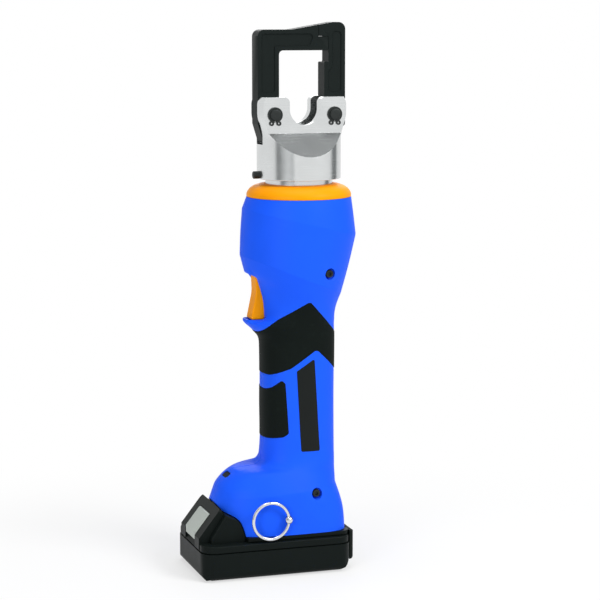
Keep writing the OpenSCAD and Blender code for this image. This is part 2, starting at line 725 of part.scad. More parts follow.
// Trigger and its switch
trigger_round = 1.2;
trigger_curve_r = 26;
trigger_curve_share = 0.62;
trigger_outline = rounded([
    [-trigger_top_front, ledge_z + trigger_top_h, trigger_round],
    [-trigger_waist, mix(trigger_low_z, ledge_z, trigger_curve_share), trigger_curve_r],
    [-trigger_front, trigger_low_z, trigger_round],
    [-waist_front, trigger_low_z, 0],
    [-trigger_back, trigger_low_z + 2 * trigger_round, trigger_round],
    [-trigger_back, ledge_z + trigger_top_h, trigger_round]]);
pump_flat = 14;
switch_front = 21;
switch_w = 10;
switch_h = 14;
switch_lift = 7.2;
switch_nub_r = 1.5;
switch_nub_l = 1.2;
switch_z = trigger_low_z + switch_lift - over;
spring_r = 2.4;
spring_wire_r = 0.3;
spring_lift = 3.2;
trigger_spring_z = switch_z + switch_h + spring_lift;
module trigger() at_axis() color("#ffb200") difference() {
    xz_plate(trigger_outline, trigger_w);
    translate([-trigger_pivot_x, 0, trigger_pivot_z]) y_rod(trigger_pin_r + run_gap, trigger_w + over);
}
module trigger_pin() at_axis() color("silver") translate([-trigger_pivot_x, 0, trigger_pivot_z])
    y_rod(trigger_pin_r, trigger_pin_l);
module trigger_switch() at_axis() color("#26292b") {
    block(-switch_front, -pump_flat, switch_w, switch_z, switch_z + switch_h);
    translate([-switch_front - switch_nub_l, 0, switch_z + switch_h / 2]) rotate([0, 90, 0])
        cylinder(r = switch_nub_r, h = switch_nub_l);
}
module trigger_spring() at_axis() color("silver") translate([-trigger_back + seat_gap, 0, trigger_spring_z])
    rotate([0, 90, 0]) coil_spring(spring_r, spring_wire_r, trigger_back - pump_flat - 2 * seat_gap, 6);

// Planetary gear set
pressure = 25;
sun_teeth = 12;
planet_teeth = 18;
ring_teeth = sun_teeth + 2 * planet_teeth;
planet_orbit = gear_module * (sun_teeth + planet_teeth) / 2;
backlash = 0.05;
addendum_share = 0.95;
dedendum_share = 1.25;
flank_steps = 4;
function involute(a) = tan(a) - a * PI / 180;
function flank_angle(teeth, r, thin) =
    let (pitch_r = gear_module * teeth / 2, base_r = pitch_r * cos(pressure), at = max(r, base_r))
    90 / teeth - thin / pitch_r * 180 / PI + (involute(pressure) - involute(acos(base_r / at))) * 180 / PI;
function gear_outline(teeth, tip, root, thin) = [
    for (i = [0:teeth - 1]) for (side = [-1, 1]) for (k = [0:flank_steps])
        let (s = (side < 0 ? k : flank_steps - k) / flank_steps, r = mix(root, tip, s),
             a = 360 * i / teeth + side * flank_angle(teeth, r, thin))
        [r * cos(a), r * sin(a)]];
module spur(teeth, bore_r, h) {
    pitch_r = gear_module * teeth / 2;
    linear_extrude(h) difference() {
        polygon(gear_outline(teeth, pitch_r + addendum_share * gear_module,
            pitch_r - dedendum_share * gear_module, backlash));
        circle(bore_r);
    }
}
shaft_r = 2;
gear_face = 9;
gear_end_gap = 0.5;
planet_pin_r = 1.6;
planet_z = gear_z + gear_end_gap;
carrier_t = 3;
carrier_z = planet_z + gear_face + gear_end_gap;
carrier_shaft_r = 5;
eccentric_r = 5.5;
eccentric_throw = 1.5;
bearing_h = 6;
bearing_r = 12;
bearing_clear = 0.5;
carrier_bearing_z = pump_z + 1;
eccentric_z = carrier_bearing_z + bearing_h + bearing_clear;
eccentric_h = 8;
roller_r = 8.5;
module sun_pinion() at_axis() color("silver") translate([0, 0, planet_z]) spur(sun_teeth, shaft_r,
    gear_face);
module planet_gear(i) at_axis() color("silver") rotate(120 * i)
    translate([planet_orbit, 0, planet_z]) rotate(180 / planet_teeth) spur(planet_teeth,
        planet_pin_r + run_gap, gear_face);
module planet_gear_1() planet_gear(0);
module planet_gear_2() planet_gear(1);
module planet_gear_3() planet_gear(2);
module ring_gear() at_axis() color("#8f9498") translate([0, 0, gear_z]) linear_extrude(gear_h)
    difference() {
        circle(motor_r);
        rotate(180 / ring_teeth) polygon(gear_outline(ring_teeth, gear_module * (ring_teeth / 2 +
            dedendum_share),
            gear_module * (ring_teeth / 2 - addendum_share), -backlash));
    }
module planet_carrier() at_axis() color("#8f9498") {
    translate([0, 0, carrier_z]) cylinder(r = planet_orbit + 2 * planet_pin_r, h = carrier_t);
    for (i = [0:2]) rotate(120 * i) translate([planet_orbit, 0, planet_z])
        cylinder(r = planet_pin_r, h = carrier_z - planet_z + carrier_t / 2);
    translate([0, 0, carrier_z]) cylinder(r = carrier_shaft_r, h = eccentric_z + eccentric_h +
        bearing_clear - carrier_z);
    translate([eccentric_throw, 0, eccentric_z]) cylinder(r = eccentric_r + eccentric_throw,
        h = eccentric_h);
}
module race(outer, inner, h) difference() {
    cylinder(r = outer, h = h);
    translate([0, 0, -over]) cylinder(r = inner, h = h + 2 * over);
}
module carrier_bearing() at_axis() color("silver") translate([0, 0, carrier_bearing_z])
    race(bearing_r, carrier_shaft_r + run_gap, bearing_h);
module eccentric_bearing() at_axis() color("silver") translate([eccentric_throw, 0, eccentric_z])
    race(roller_r + eccentric_throw, eccentric_r + eccentric_throw, eccentric_h);

// Motor
can_wall = 1.6;
magnet_t = 2.4;
armature_gap = 0.6;
armature_r = motor_r - can_wall - magnet_t - armature_gap;
armature_end = 9;
motor_bearing_r = 5;
motor_bearing_h = 4;
shaft_low = 2;
module motor_can() at_axis() color("#6d7276") {
    translate([0, 0, motor_z]) race(motor_r, motor_r - can_wall, motor_l);
    translate([0, 0, motor_z + armature_end]) difference() {
        race(motor_r - can_wall / 2, armature_r + armature_gap, motor_l - 2 * armature_end);
        translate([0, 0, -over]) block(-magnet_t, magnet_t, 2 * motor_r, 0, motor_l);
    }
}
module motor_end_bell() at_axis() color("#2b2e30") difference() {
    translate([0, 0, bell_z]) cylinder(r = motor_r, h = bell_h);
    translate([0, 0, motor_z - motor_bearing_h]) cylinder(r = motor_bearing_r + seat_gap,
        h = motor_bearing_h + over);
    translate([0, 0, bell_z - over]) cylinder(r = shaft_r + slip_gap, h = bell_h);
}
module motor_bearings() at_axis() color("silver")
    for (z = [motor_z - motor_bearing_h, flange_z]) translate([0, 0, z]) race(motor_bearing_r,
        shaft_r + run_gap, motor_bearing_h);
module rotor() at_axis() color("#8a5a2b") {
    translate([0, 0, bell_z + shaft_low]) cylinder(r = shaft_r, h = planet_z + gear_face - bell_z -
        shaft_low);
    difference() {
        translate([0, 0, motor_z + armature_end]) cylinder(r = armature_r, h = motor_l - 2 * armature_end);
        for (i = [0:9]) rotate(36 * i) translate([armature_r, 0, motor_z + armature_end - over])
            cylinder(r = armature_gap, h = motor_l);
    }
    translate([0, 0, motor_z + bearing_clear]) cylinder(r = armature_r / 2, h = armature_end);
}
module gear_flange() at_axis() color("#8f9498") difference() {
    translate([0, 0, flange_z]) cylinder(r = motor_r, h = flange_t);
    translate([0, 0, flange_z - over]) cylinder(r = motor_bearing_r + seat_gap, h = flange_t + 2 * over);
}

// Pump block with the plunger behind the eccentric
pump_low_r = 19.5;
pump_low_h = 26;
pump_flat_top = ledge_z + undercut_h / 2;
plunger_r = 4;
plunger_z = eccentric_z + eccentric_h / 2;
plunger_x = roller_r + 2 * eccentric_throw + run_gap;
plunger_l = 6;
plunger_plug = 1.2;
plunger_tip = 1;
cam_room_r = roller_r + 2 * eccentric_throw + slip_gap;
port_r = 2;
port_x = 14;
valve_r = 2.4;
valve_ball_r = 2.2;
valve_drop = 9;
valve_seat_z = neck_z - valve_drop;
return_r = 4;
return_l = 12;
return_y = 17;
pump_gap = 0.2;
module pump_block() at_axis() color("#a7adb2") difference() {
    union() {
        translate([0, 0, pump_z]) cylinder(r = pump_low_r, h = pump_h);
        translate([0, 0, pump_z + pump_low_h]) cylinder(r = pump_r, h = pump_h - pump_low_h);
    }
    translate([0, 0, pump_z - over]) block(-front_reach, -pump_flat, battery_w, 0,
        pump_flat_top - pump_z + over);
    translate([0, 0, pump_z - over]) cylinder(r = bearing_r + run_gap, h = carrier_bearing_z + bearing_h
        - pump_z + over);
    translate([0, 0, carrier_bearing_z + bearing_h])
        cylinder(r = cam_room_r, h = eccentric_z + eccentric_h + 2 * bearing_clear - carrier_bearing_z -
            bearing_h);
    translate([0, 0, plunger_z]) rotate([0, 90, 0]) cylinder(r = plunger_r + run_gap,
        h = pump_low_r - plunger_plug);
    translate([port_x, 0, plunger_z]) cylinder(r = port_r, h = neck_z - plunger_z + over);
    translate([port_x, 0, valve_seat_z]) cylinder(r = valve_r, h = neck_z - valve_seat_z + over);
    translate([-port_x / 2, return_y, neck_z - return_l]) cylinder(r = return_r + seat_gap,
        h = return_l + over);
    translate([high_screw_x, 0, high_screw_z]) both_sides() translate([0,
        high_head_y - high_screw_l - over, 0])
        rotate([-90, 0, 0]) cylinder(r = screw_r + run_gap, h = pump_r);
}
module pump_plunger() at_axis() color("silver") translate([plunger_x, 0, plunger_z]) rotate([0, 90, 0]) {
    cylinder(r = plunger_r, h = plunger_l / 2);
    cylinder(r = plunger_r / 2, h = plunger_l / 2 + plunger_tip);
}
module plunger_spring() at_axis() color("silver") translate([plunger_x + plunger_l / 2 + seat_gap, 0,
    plunger_z])
    rotate([0, 90, 0]) coil_spring(plunger_r - 2 * spring_wire_r - seat_gap, spring_wire_r,
        pump_low_r - plunger_plug - plunger_x - plunger_l / 2 - 2 * seat_gap, 3);
module check_valves() at_axis() color("silver")
    for (i = [0, 1]) translate([port_x, 0, valve_seat_z + (1 + 2 * i) * valve_ball_r]) sphere(valve_ball_r);
module return_valve() at_axis() color("#b08d3a") translate([-port_x / 2, return_y, neck_z - return_l]) {
    cylinder(r = return_r, h = return_l - seat_gap);
}
neck_step = 2;
neck_low_r = neck_r - neck_step;
bladder_clear = 8.5;
bladder_r = body_half - bladder_clear;
bladder_t_share = 0.25;
bladder_t = (bladder_r - neck_low_r - slip_gap) * bladder_t_share;
bladder_low_h = 4;
bladder_top_h = 6;
module oil_bladder() at_axis() color("#1d1f20") rotate_extrude()
    translate([neck_low_r + slip_gap, neck_z + bladder_low_h]) difference() {
        square([bladder_r - neck_low_r - slip_gap, ring_z - bladder_top_h - neck_z - bladder_low_h]);
        translate([bladder_t, bladder_t])
            square([bladder_r - neck_low_r - slip_gap - 2 * bladder_t,
                ring_z - bladder_top_h - neck_z - bladder_low_h - 2 * bladder_t]);
    }

// Neck, which is also the ram's cylinder
neck_step_drop = 5.5;
socket_h = 14.4;
neck_top_z = collar_z + socket_h - slip_gap;
ceiling_z = collar_z + socket_h;
screw_groove_h = 4.4;
swivel_rise = 2.9;
swivel_z = collar_z + swivel_rise;
groove_depth = 1.8;
seal_r = 1;
seal_drop = 4.5;
seal_z = collar_z + socket_h - seal_drop;
neck_floor = 4;
module neck() at_axis() color("#d5d8da") rotate_extrude() polygon([
    [port_r, neck_z], [neck_low_r, neck_z], [neck_low_r, ring_z - neck_step_drop], [neck_r,
        ring_z - neck_step_drop],
    [neck_r, swivel_z - screw_groove_h / 2], [neck_r - groove_depth, swivel_z - screw_groove_h / 2],
    [neck_r - groove_depth, swivel_z + screw_groove_h / 2], [neck_r, swivel_z + screw_groove_h / 2],
    [neck_r, seal_z - seal_r - seat_gap], [neck_r - 2 * seal_r - seat_gap, seal_z - seal_r - seat_gap],
    [neck_r - 2 * seal_r - seat_gap, seal_z + seal_r + seat_gap], [neck_r, seal_z + seal_r + seat_gap],
    [neck_r, neck_top_z], [bore_r + run_gap, neck_top_z], [bore_r + run_gap, neck_z + neck_floor],
    [port_r, neck_z + neck_floor]]);
module neck_seal() at_axis() color("#111314") translate([0, 0, seal_z])
    rotate_extrude() translate([neck_r - seal_r - seat_gap / 2, 0]) circle(seal_r);

// Head with the fork that carries the yoke and the latch arm
pin_x = pin_span / 2;
ear_reach = 11.7;
flare_r = pin_x + ear_reach;
flare_drop = 15.7;
flare_top_drop = 1.7;
collar_bevel = 0.8;
ear_bevel = 2;
ear_bevel_h = 4;
flat_drop = 13.2;
flat_slope_share = 1.03;
throat_rise = 3.8;
throat_flare = 3.2;
frame_gap = 0.2;
slot_drop = 21.2;
knob_r = 2.75;
knob_l = 4.2;
knob_sink = 1;
swivel_r = 2;
module head_fork() at_axis() color("#d5d8da") difference() {
    rotate_extrude() polygon([
        [0, collar_z], [collar_r - collar_bevel, collar_z], [collar_r, collar_z + collar_bevel],
        [collar_r, pin_z - flare_drop], [flare_r, pin_z - flare_top_drop], [flare_r, ear_z - ear_bevel_h],
        [flare_r - ear_bevel, ear_z], [0, ear_z]]);
    translate([0, 0, collar_z - over]) cylinder(r = neck_r + run_gap, h = socket_h + over);
    translate([0, 0, collar_z]) cylinder(r = rod_r + run_gap, h = ear_z - collar_z + over);
    both_sides() yz_bar([
        [fork_t / 2, ear_z + over], [fork_t / 2, pin_z - flat_drop],
        [flare_r, pin_z - flat_drop - (flare_r - fork_t / 2) * flat_slope_share],
        [2 * flare_r, pin_z - flat_drop - (flare_r - fork_t / 2) * flat_slope_share], [2 * flare_r,
            ear_z + over]],
        -2 * flare_r, 2 * flare_r);
    translate([0, 0, pin_z + throat_rise]) y_rod(throat_r, 2 * fork_t);
    xz_plate([
        [-throat_r, pin_z + throat_rise], [throat_r, pin_z + throat_rise], [throat_r, ear_z - throat_flare],
        [throat_r + throat_flare, ear_z + seat_gap], [throat_r + throat_flare, ear_z + over],
        [-throat_r - throat_flare, ear_z + over], [-throat_r - throat_flare, ear_z + seat_gap],
        [-throat_r, ear_z - throat_flare]], 2 * fork_t);
    block(-2 * flare_r, 2 * flare_r, frame_t + 2 * frame_gap, pin_z - slot_drop, ear_z + over);
    for (x = [-pin_x, pin_x]) translate([x, 0, pin_z]) y_rod(pin_r + run_gap, 2 * fork_t);
    translate([-2 * collar_r, 0, swivel_z]) rotate([0, 90, 0]) cylinder(r = swivel_r + run_gap,
        h = 2 * collar_r - bore_r);
    translate([-2 * collar_r, 0, swivel_z]) rotate([0, 90, 0]) cylinder(r = knob_r + seat_gap,
        h = collar_r + knob_sink);
}
module swivel_screw() at_axis() color("#1b1d1e") translate([0, 0, swivel_z]) rotate([0, -90, 0]) {
    translate([0, 0, collar_r - knob_sink]) cylinder(r = knob_r, h = knob_l + knob_sink);
    translate([0, 0, neck_r - groove_depth + slip_gap])
        cylinder(r = swivel_r, h = collar_r - knob_sink - neck_r + groove_depth - slip_gap + over / 4);
}

// Yoke and latch arm, hinged on the two pins and hooked together over the window
arm_outer = 10.4;
arm_inner = 5.3;
eye_wall = 4.2;
arm_out_x = pin_x + arm_outer;
arm_in_x = pin_x - arm_inner;
tongue_h = 9.7;
tongue_in = 2.5;
tongue_x = pin_x - tongue_in;
hook_lap = 7.2;
hook_x = tongue_x - hook_lap;
hook_gap = 0.3;
hook_z = window_z + tongue_h;
relief_h = 8.2;
crown_start = 7.2;
crown_end = 23.6;
frame_bevel = 0.9;
frame_corner = 5;
window_corner = 3;
tail_drop = 19.6;
tail_in = 6.4;
tail_w = 5;
tail_corner = 1.35;
arm_low = 6.6;
arm_foot = 9.5;
panel_rim = 3.4;
panel_depth = 0.8;
panel_corner = 2;
crown_rise_share = latch_rise / (crown_end + crown_start);
function crown_z(x) = bar_z + (x + crown_start) * crown_rise_share;
yoke_outline = rounded([
    [-arm_out_x, bar_z, frame_corner],
    [-arm_out_x, pin_z - arm_low, 0],
    [-pin_x - tail_in, pin_z - tail_drop, tail_corner],
    [-pin_x - tail_in + tail_w, pin_z - tail_drop, tail_corner],
    [-arm_in_x, pin_z - arm_foot, window_corner],
    [-arm_in_x, window_z, window_corner],
    [tongue_x, window_z, frame_bevel],
    [tongue_x, hook_z, 0],
    [hook_x, hook_z, 0],
    [hook_x, crown_z(hook_x), 0],
    [-crown_start, bar_z, 0]]);
latch_outline = rounded([
    [arm_in_x, pin_z - arm_foot, window_corner],
    [arm_out_x, pin_z - arm_foot, window_corner],
    [arm_out_x, latch_z, frame_corner],
    [crown_end, latch_z, 0],
    [hook_x + hook_gap, crown_z(hook_x + hook_gap), 0],
    [hook_x + hook_gap, hook_z + hook_gap, 0],
    [tongue_x + hook_gap, hook_z + hook_gap, 0],
    [tongue_x + hook_gap, window_z - relief_h, frame_bevel],
    [arm_in_x, window_z - relief_h, frame_bevel]]);
yoke_arm_panel = rounded([
    [panel_rim - arm_out_x, bar_z - panel_rim, panel_corner], [panel_rim - arm_out_x, ear_z + panel_rim,
        panel_corner],
    [-arm_in_x - panel_rim, ear_z + panel_rim, panel_corner],
    [-arm_in_x - panel_rim, window_z + panel_rim, panel_corner / 2],
    [hook_x - 2 * panel_rim, window_z + panel_rim, panel_corner], [hook_x - panel_rim,
        bar_z - panel_rim, panel_corner]]);
latch_panel = rounded([
    [arm_in_x + panel_rim, ear_z + panel_rim, panel_corner], [arm_out_x - panel_rim, ear_z + panel_rim,
        panel_corner],
    [arm_out_x - panel_rim, latch_z - 2 * panel_rim, panel_corner],
    [tongue_x + hook_gap + panel_rim, latch_z - 2 * panel_rim, panel_corner],
    [tongue_x + hook_gap + panel_rim, window_z - relief_h - panel_rim, panel_corner],
    [arm_in_x + panel_rim, window_z - relief_h - 2 * panel_rim, panel_corner]]);
module frame_arm(outline, panel, eye_x) difference() {
    union() {
        xz_plate(outline, frame_t);
        translate([eye_x, 0, pin_z]) y_rod(pin_r + eye_wall, frame_t);
    }
    translate([eye_x, 0, pin_z]) y_rod(pin_r + run_gap, 2 * frame_t);
    both_sides() translate([0, frame_t / 2, 0]) xz_plate(panel, 2 * panel_depth);
}
module yoke() at_axis() color("#1d2422") frame_arm(yoke_outline, yoke_arm_panel, -pin_x);
module latch_arm() at_axis() color("#1d2422") frame_arm(latch_outline, latch_panel, pin_x);

// Hinge pins with a retaining ring at each end
pin_proud = 2.2;
ring_t = 1;
ring_groove = 0.4;
ring_width = 1.4;
lug_r = 1.7;
lug_hole_r = 0.7;
lug_reach = 2.5;
lug_angle = 24;
module hinge_pin(x) at_axis() color("#2a2d2f") translate([x, 0, pin_z]) difference() {
    y_rod(pin_r, fork_t + 2 * pin_proud);
    both_sides() translate([0, fork_t / 2, 0]) rotate([-90, 0, 0]) race(pin_r + over,
        pin_r - ring_groove, ring_t + seat_gap);
}
module yoke_pin() hinge_pin(-pin_x);
module latch_pin() hinge_pin(pin_x);
module snap_ring() linear_extrude(ring_t - seat_gap) difference() {
    union() {
        circle(pin_r + ring_width);
        for (a = [-lug_angle, lug_angle]) rotate(a - 90) translate([pin_r + lug_reach, 0]) circle(lug_r);
    }
    circle(pin_r - ring_groove + seat_gap / 2);
    for (a = [-lug_angle, lug_angle]) rotate(a - 90) translate([pin_r + lug_reach, 0]) circle(lug_hole_r);
    translate([-lug_hole_r / 2, -2 * pin_r - lug_reach]) square([lug_hole_r, 2 * pin_r]);
}
module retaining_rings() at_axis() color("#2a2d2f") for (x = [-pin_x, pin_x])
    both_sides() translate([x, -fork_t / 2 - seat_gap / 2, pin_z]) rotate([90, 0, 0]) snap_ring();

// Ram with its seal and return spring
piston_gap = 0.5;
piston_h = 12;
piston_z = neck_z + neck_floor + piston_gap;
piston_top_z = piston_z + piston_h;
ram_drop = 1.4;
ram_top_z = pin_z + throat_rise - throat_r - ram_drop;
ram_bevel = 0.8;
die_bore_r = 4;
die_bore_l = 10;
piston_seal_h = 3;
piston_seal_t = 2;
coil_wire_r = 1.2;
coil_turns = 8;
module ram() at_axis() color("silver") rotate_extrude() polygon([
    [0, piston_z], [bore_r, piston_z], [bore_r, piston_z + piston_seal_h], [bore_r - piston_seal_t,
        piston_z + piston_seal_h],
    [bore_r - piston_seal_t, piston_z + 2 * piston_seal_h], [bore_r, piston_z + 2 * piston_seal_h],
    [bore_r, piston_top_z], [rod_r, piston_top_z], [rod_r, ram_top_z - ram_bevel], [rod_r - ram_bevel,
        ram_top_z],
    [die_bore_r, ram_top_z], [die_bore_r, ram_top_z - die_bore_l], [0, ram_top_z - die_bore_l]]);
module ram_seal() at_axis() color("#111314") rotate_extrude()
    translate([bore_r - piston_seal_t + seat_gap / 2, piston_z + piston_seal_h + seat_gap / 2])
    square([piston_seal_t - seat_gap / 2, piston_seal_h - seat_gap]);
module return_spring() at_axis() color("silver") translate([0, 0, piston_top_z + seat_gap])
    coil_spring((bore_r + rod_r) / 2, coil_wire_r, ceiling_z - piston_top_z - 2 * seat_gap, coil_turns);

// Battery cases
split_drop = 5.5;
split_z = battery_h - split_drop;
case_front_r = 4;
case_rear_r = 9;
case_side_r = 5;
case_corner_r = 8;
module case_form(shrink, top) intersection() {
    xz_plate(rounded([
        [shrink - front_reach, top, 0], [shrink - front_reach, shrink, case_front_r - shrink],
        [bat_rear - shrink, shrink, case_rear_r - shrink], [bat_rear - shrink, top, 0]]), battery_w);
    yz_bar(rounded([
        [shrink - battery_w / 2, top, 0], [shrink - battery_w / 2, shrink, case_side_r - shrink],
        [battery_w / 2 - shrink, shrink, case_side_r - shrink], [battery_w / 2 - shrink, top, 0]]),
        -front_reach, bat_rear);
    linear_extrude(top + over) round_plan(shrink - front_reach, bat_rear - shrink,
        battery_w - 2 * shrink, case_corner_r - shrink);
}
case_screw_in = 4.8;
case_post_r = 3.6;
case_screw_r = 1.2;
case_head_r = 2.2;
case_head_h = 1.8;
case_screw_z = 6;
module case_corners()
    for (x = [case_screw_in - front_reach, bat_rear - case_screw_in])
        for (y = [case_screw_in - battery_w / 2, battery_w / 2 - case_screw_in]) translate([x, y,
            0]) children();
module battery_lower_case() at_axis() color("#17191a") difference() {
    case_form(0, split_z);
    difference() {
        case_form(battery_wall, split_z + over);
        case_corners() cylinder(r = case_post_r, h = battery_h);
    }
    case_corners() translate([0, 0, -over]) cylinder(r = case_head_r + seat_gap,
        h = case_screw_z + case_head_h + over);
    case_corners() cylinder(r = case_screw_r + run_gap, h = battery_h);
}
module battery_screws() at_axis() color("#3a3d40") case_corners() translate([0, 0, case_screw_z]) {
    cylinder(r = case_head_r, h = case_head_h);
    cylinder(r = case_screw_r, h = split_z + split_drop / 2 - case_screw_z);
}

// The raised nose of the upper case, with the slope that carries the release button
nose_gap = 0.5;
slant_low_h = 3.7;
nose_drop = 0.9;
nose_side = 10.5;
nose_edge_r = 3;
nose_half = battery_w / 2 - nose_side;
cheek_in = 5;
cheek_half = base_half - cheek_in;
cheek_setback = 8;
slant_low_z = battery_h + slant_low_h;
slant_top = nose_back(nose_gap)[nose_back_top] - [0, nose_drop];
cheek_top = nose_back(nose_gap)[nose_back_top - 1];
slant_run = slant_top[0] + front_reach;
slant_rise = slant_top[1] - slant_low_z;
slant_angle = atan2(slant_rise, slant_run);
slant_l = norm([slant_run, slant_rise]);
slant_mid = [slant_top[0] - slant_run / 2, slant_low_z + slant_rise / 2];
module on_slant() translate([slant_mid[0], 0, slant_mid[1]]) rotate([0, -slant_angle, 0]) children();
function slant_point(u, w) =
    slant_mid + [u * cos(slant_angle) - w * sin(slant_angle), u * sin(slant_angle) + w * cos(slant_angle)];
function slant_at(x, w) = slant_point((x - slant_mid[0] + w * sin(slant_angle)) / cos(slant_angle), w);
button_t = 2.6;
button_proud = 0.7;
button_margin = 7.5;
button_top = slant_l / 2 - button_margin;
button_corner = 1.2;
button_inset = 0.2;
button_skirt = 4;
button_x = button_inset - front_reach;
button_low_z = slant_low_z - button_skirt;
// Outline of the button: flat on the slope, with a skirt down the front
function button_outline(gap, proud) = [
    slant_point(button_top + gap, proud), slant_point(button_top + gap, -button_t - gap),
    slant_at(button_x + button_t + gap, -button_t - gap), [button_x + button_t + gap, button_low_z - gap]];
spring_room = 4.4;
button_spring_r = 1.6;
button_spring_wire_r = 0.25;
button_tab = 2;
button_room_l = 10;
spring_mid = button_t + spring_room / 2;
module nose_wedge(setback, top, count, half) xz_plate(concat(
    [[setback - front_reach, split_z + split_drop / 2], [setback - front_reach, slant_low_z]],
    [top], reversed([for (i = [0:count]) nose_back(nose_gap)[i]]),
    [[-nose_root - nose_gap, split_z + split_drop / 2]]), 2 * half);
deck_front = nose_root;
deck_rear_gap = 12;
module battery_upper_case() at_axis() color("#17191a") difference() {
    union() {
        intersection() {
            case_form(0, battery_h);
            block(-front_reach, bat_rear, battery_w, split_z, battery_h);
        }
        intersection() {
            nose_wedge(0, slant_top, nose_back_top - 1, nose_half);
            yz_bar(rounded([
                [-nose_half, split_z, 0], [nose_half, split_z, 0], [nose_half, slant_top[1], nose_edge_r],
                [-nose_half, slant_top[1], nose_edge_r]]), -front_reach, 0);
        }
        nose_wedge(cheek_setback, cheek_top, nose_back_top - 2, cheek_half);
        both_sides() yz_bar([
            [0, battery_h - over], [deck_stem, battery_h - over], [deck_stem, battery_h + flange_low],
            [deck_half, battery_h + flange_low], [deck_half, deck_z], [0, deck_z]],
            -deck_front - over, bat_rear - deck_rear_gap);
    }
    difference() {
        intersection() {
            case_form(battery_wall, battery_h - battery_wall);
            block(-front_reach, bat_rear, battery_w, split_z - over, battery_h - battery_wall);
        }
        case_corners() cylinder(r = case_post_r, h = battery_h);
    }
    case_corners() cylinder(r = case_screw_r + run_gap, h = split_z + split_drop / 2 + seat_gap);
    xz_plate(concat(button_outline(slip_gap, 2 * over), [
        [button_x + button_t + slip_gap, button_low_z - slip_gap]
            - (button_t + over) * [1, tan(slant_angle)], slant_point(-slant_l, 2 * over)]),
        button_w + 2 * slip_gap);
    on_slant() block(-button_room_l, button_tab + slip_gap, 2 * (button_spring_r + 2 * slip_gap),
        -button_t - spring_room, 0);
}
module release_button() at_axis() color("#8b9094") {
    xz_plate(rounded([
        for (q = concat(button_outline(0, button_proud), [
            [button_x, button_low_z], slant_at(button_x, button_proud)])) [q[0], q[1], button_corner]]),
        button_w);
    on_slant() block(0, button_tab, 2 * button_spring_r, slip_gap - button_t - spring_room, -button_t / 2);
}
module button_spring() at_axis() color("silver") on_slant() translate([-seat_gap, 0, -spring_mid])
    rotate([0, -90, 0]) coil_spring(button_spring_r, button_spring_wire_r, button_room_l - 2 * seat_gap, 6);

// Cells and their contacts
cell_end = 3;
cell_l = battery_w - 2 * (battery_wall + cell_end);
cell_gap = 0.4;
cell_pitch = 2 * cell_r + cell_gap;
cell_z = battery_wall + seat_gap + cell_r;
strap_t = 0.3;
strap_h = 6;
contact_l = 14;
contact_t = 1.2;
contact_h = 2.6;
contact_in = 6;
contact_y = terminal_half - contact_in;
contact_x = 16;
module cells() at_axis() color("#4a90a4") for (i = [-2:2])
    translate([bat_mid + i * cell_pitch, 0, cell_z]) y_rod(cell_r, cell_l);
module cell_straps() at_axis() color("silver") both_sides()
    translate([bat_mid - 2 * cell_pitch, cell_l / 2 + seat_gap, cell_z - strap_h / 2])
    cube([4 * cell_pitch, strap_t, strap_h]);
module battery_contacts() at_axis() color("#c8a24a") for (y = [-contact_y, contact_y])
    translate([-contact_x, y - contact_t / 2, deck_z]) cube([contact_l, contact_t, contact_h]);

left_shell();
right_shell();
nose_ring();
left_grip_band();
right_grip_band();
left_grip_pad();
right_grip_pad();
shell_screws();
work_light();
battery_shoe();
heel_guard();
terminal_block();
control_board();
lanyard_stud();
lanyard_ring();
trigger();
trigger_pin();
trigger_switch();
trigger_spring();
motor_can();
motor_end_bell();
motor_bearings();
rotor();
sun_pinion();
gear_flange();
ring_gear();
planet_gear_1();
planet_gear_2();
planet_gear_3();
planet_carrier();
carrier_bearing();
eccentric_bearing();
pump_block();
pump_plunger();
plunger_spring();
check_valves();
return_valve();
oil_bladder();
neck();
neck_seal();
head_fork();
swivel_screw();
yoke();
latch_arm();
yoke_pin();
latch_pin();
retaining_rings();
ram();
ram_seal();
return_spring();
battery_lower_case();
battery_upper_case();
cells();
cell_straps();
battery_contacts();
release_button();
button_spring();
battery_screws();
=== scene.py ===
"""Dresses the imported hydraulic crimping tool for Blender: moulded housing, grips, machined head, battery, studio."""
import logging
import math
from dataclasses import dataclass
from enum import Enum
from typing import Iterable, Optional, Sequence, Union

import bmesh
import bpy
import numpy as np
from mathutils import Matrix, Vector, geometry


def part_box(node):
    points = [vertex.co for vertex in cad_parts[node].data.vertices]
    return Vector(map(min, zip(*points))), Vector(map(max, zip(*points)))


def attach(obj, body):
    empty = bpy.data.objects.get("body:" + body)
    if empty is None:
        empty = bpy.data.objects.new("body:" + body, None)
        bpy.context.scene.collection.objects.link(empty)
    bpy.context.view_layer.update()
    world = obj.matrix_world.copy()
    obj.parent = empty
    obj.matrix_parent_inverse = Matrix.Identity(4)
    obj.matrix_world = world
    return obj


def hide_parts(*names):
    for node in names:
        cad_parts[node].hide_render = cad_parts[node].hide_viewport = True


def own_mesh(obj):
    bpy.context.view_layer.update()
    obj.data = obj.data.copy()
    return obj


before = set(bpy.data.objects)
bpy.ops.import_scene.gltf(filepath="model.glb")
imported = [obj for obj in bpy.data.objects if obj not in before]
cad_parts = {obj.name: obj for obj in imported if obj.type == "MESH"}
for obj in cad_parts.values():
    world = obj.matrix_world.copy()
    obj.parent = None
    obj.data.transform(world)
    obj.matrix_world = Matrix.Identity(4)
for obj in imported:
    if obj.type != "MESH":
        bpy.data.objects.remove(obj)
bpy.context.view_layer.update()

LOG = logging.getLogger("crimping_tool")
MM = 0.001
AXIS_X = 20.75
Point2 = Sequence[float]
Colour = tuple[float, float, float]


class Axis(Enum):
    """Direction in which an outline is drawn out."""

    X = "x"
    Y = "y"
    Z = "z"


class Texture(Enum):
    """What the surface of a finish shows close up."""

    MOULDED = "moulded"
    RUBBER = "rubber"
    PAINT = "paint"
    TURNED = "turned"
    PLATED = "plated"
    CAST = "cast"


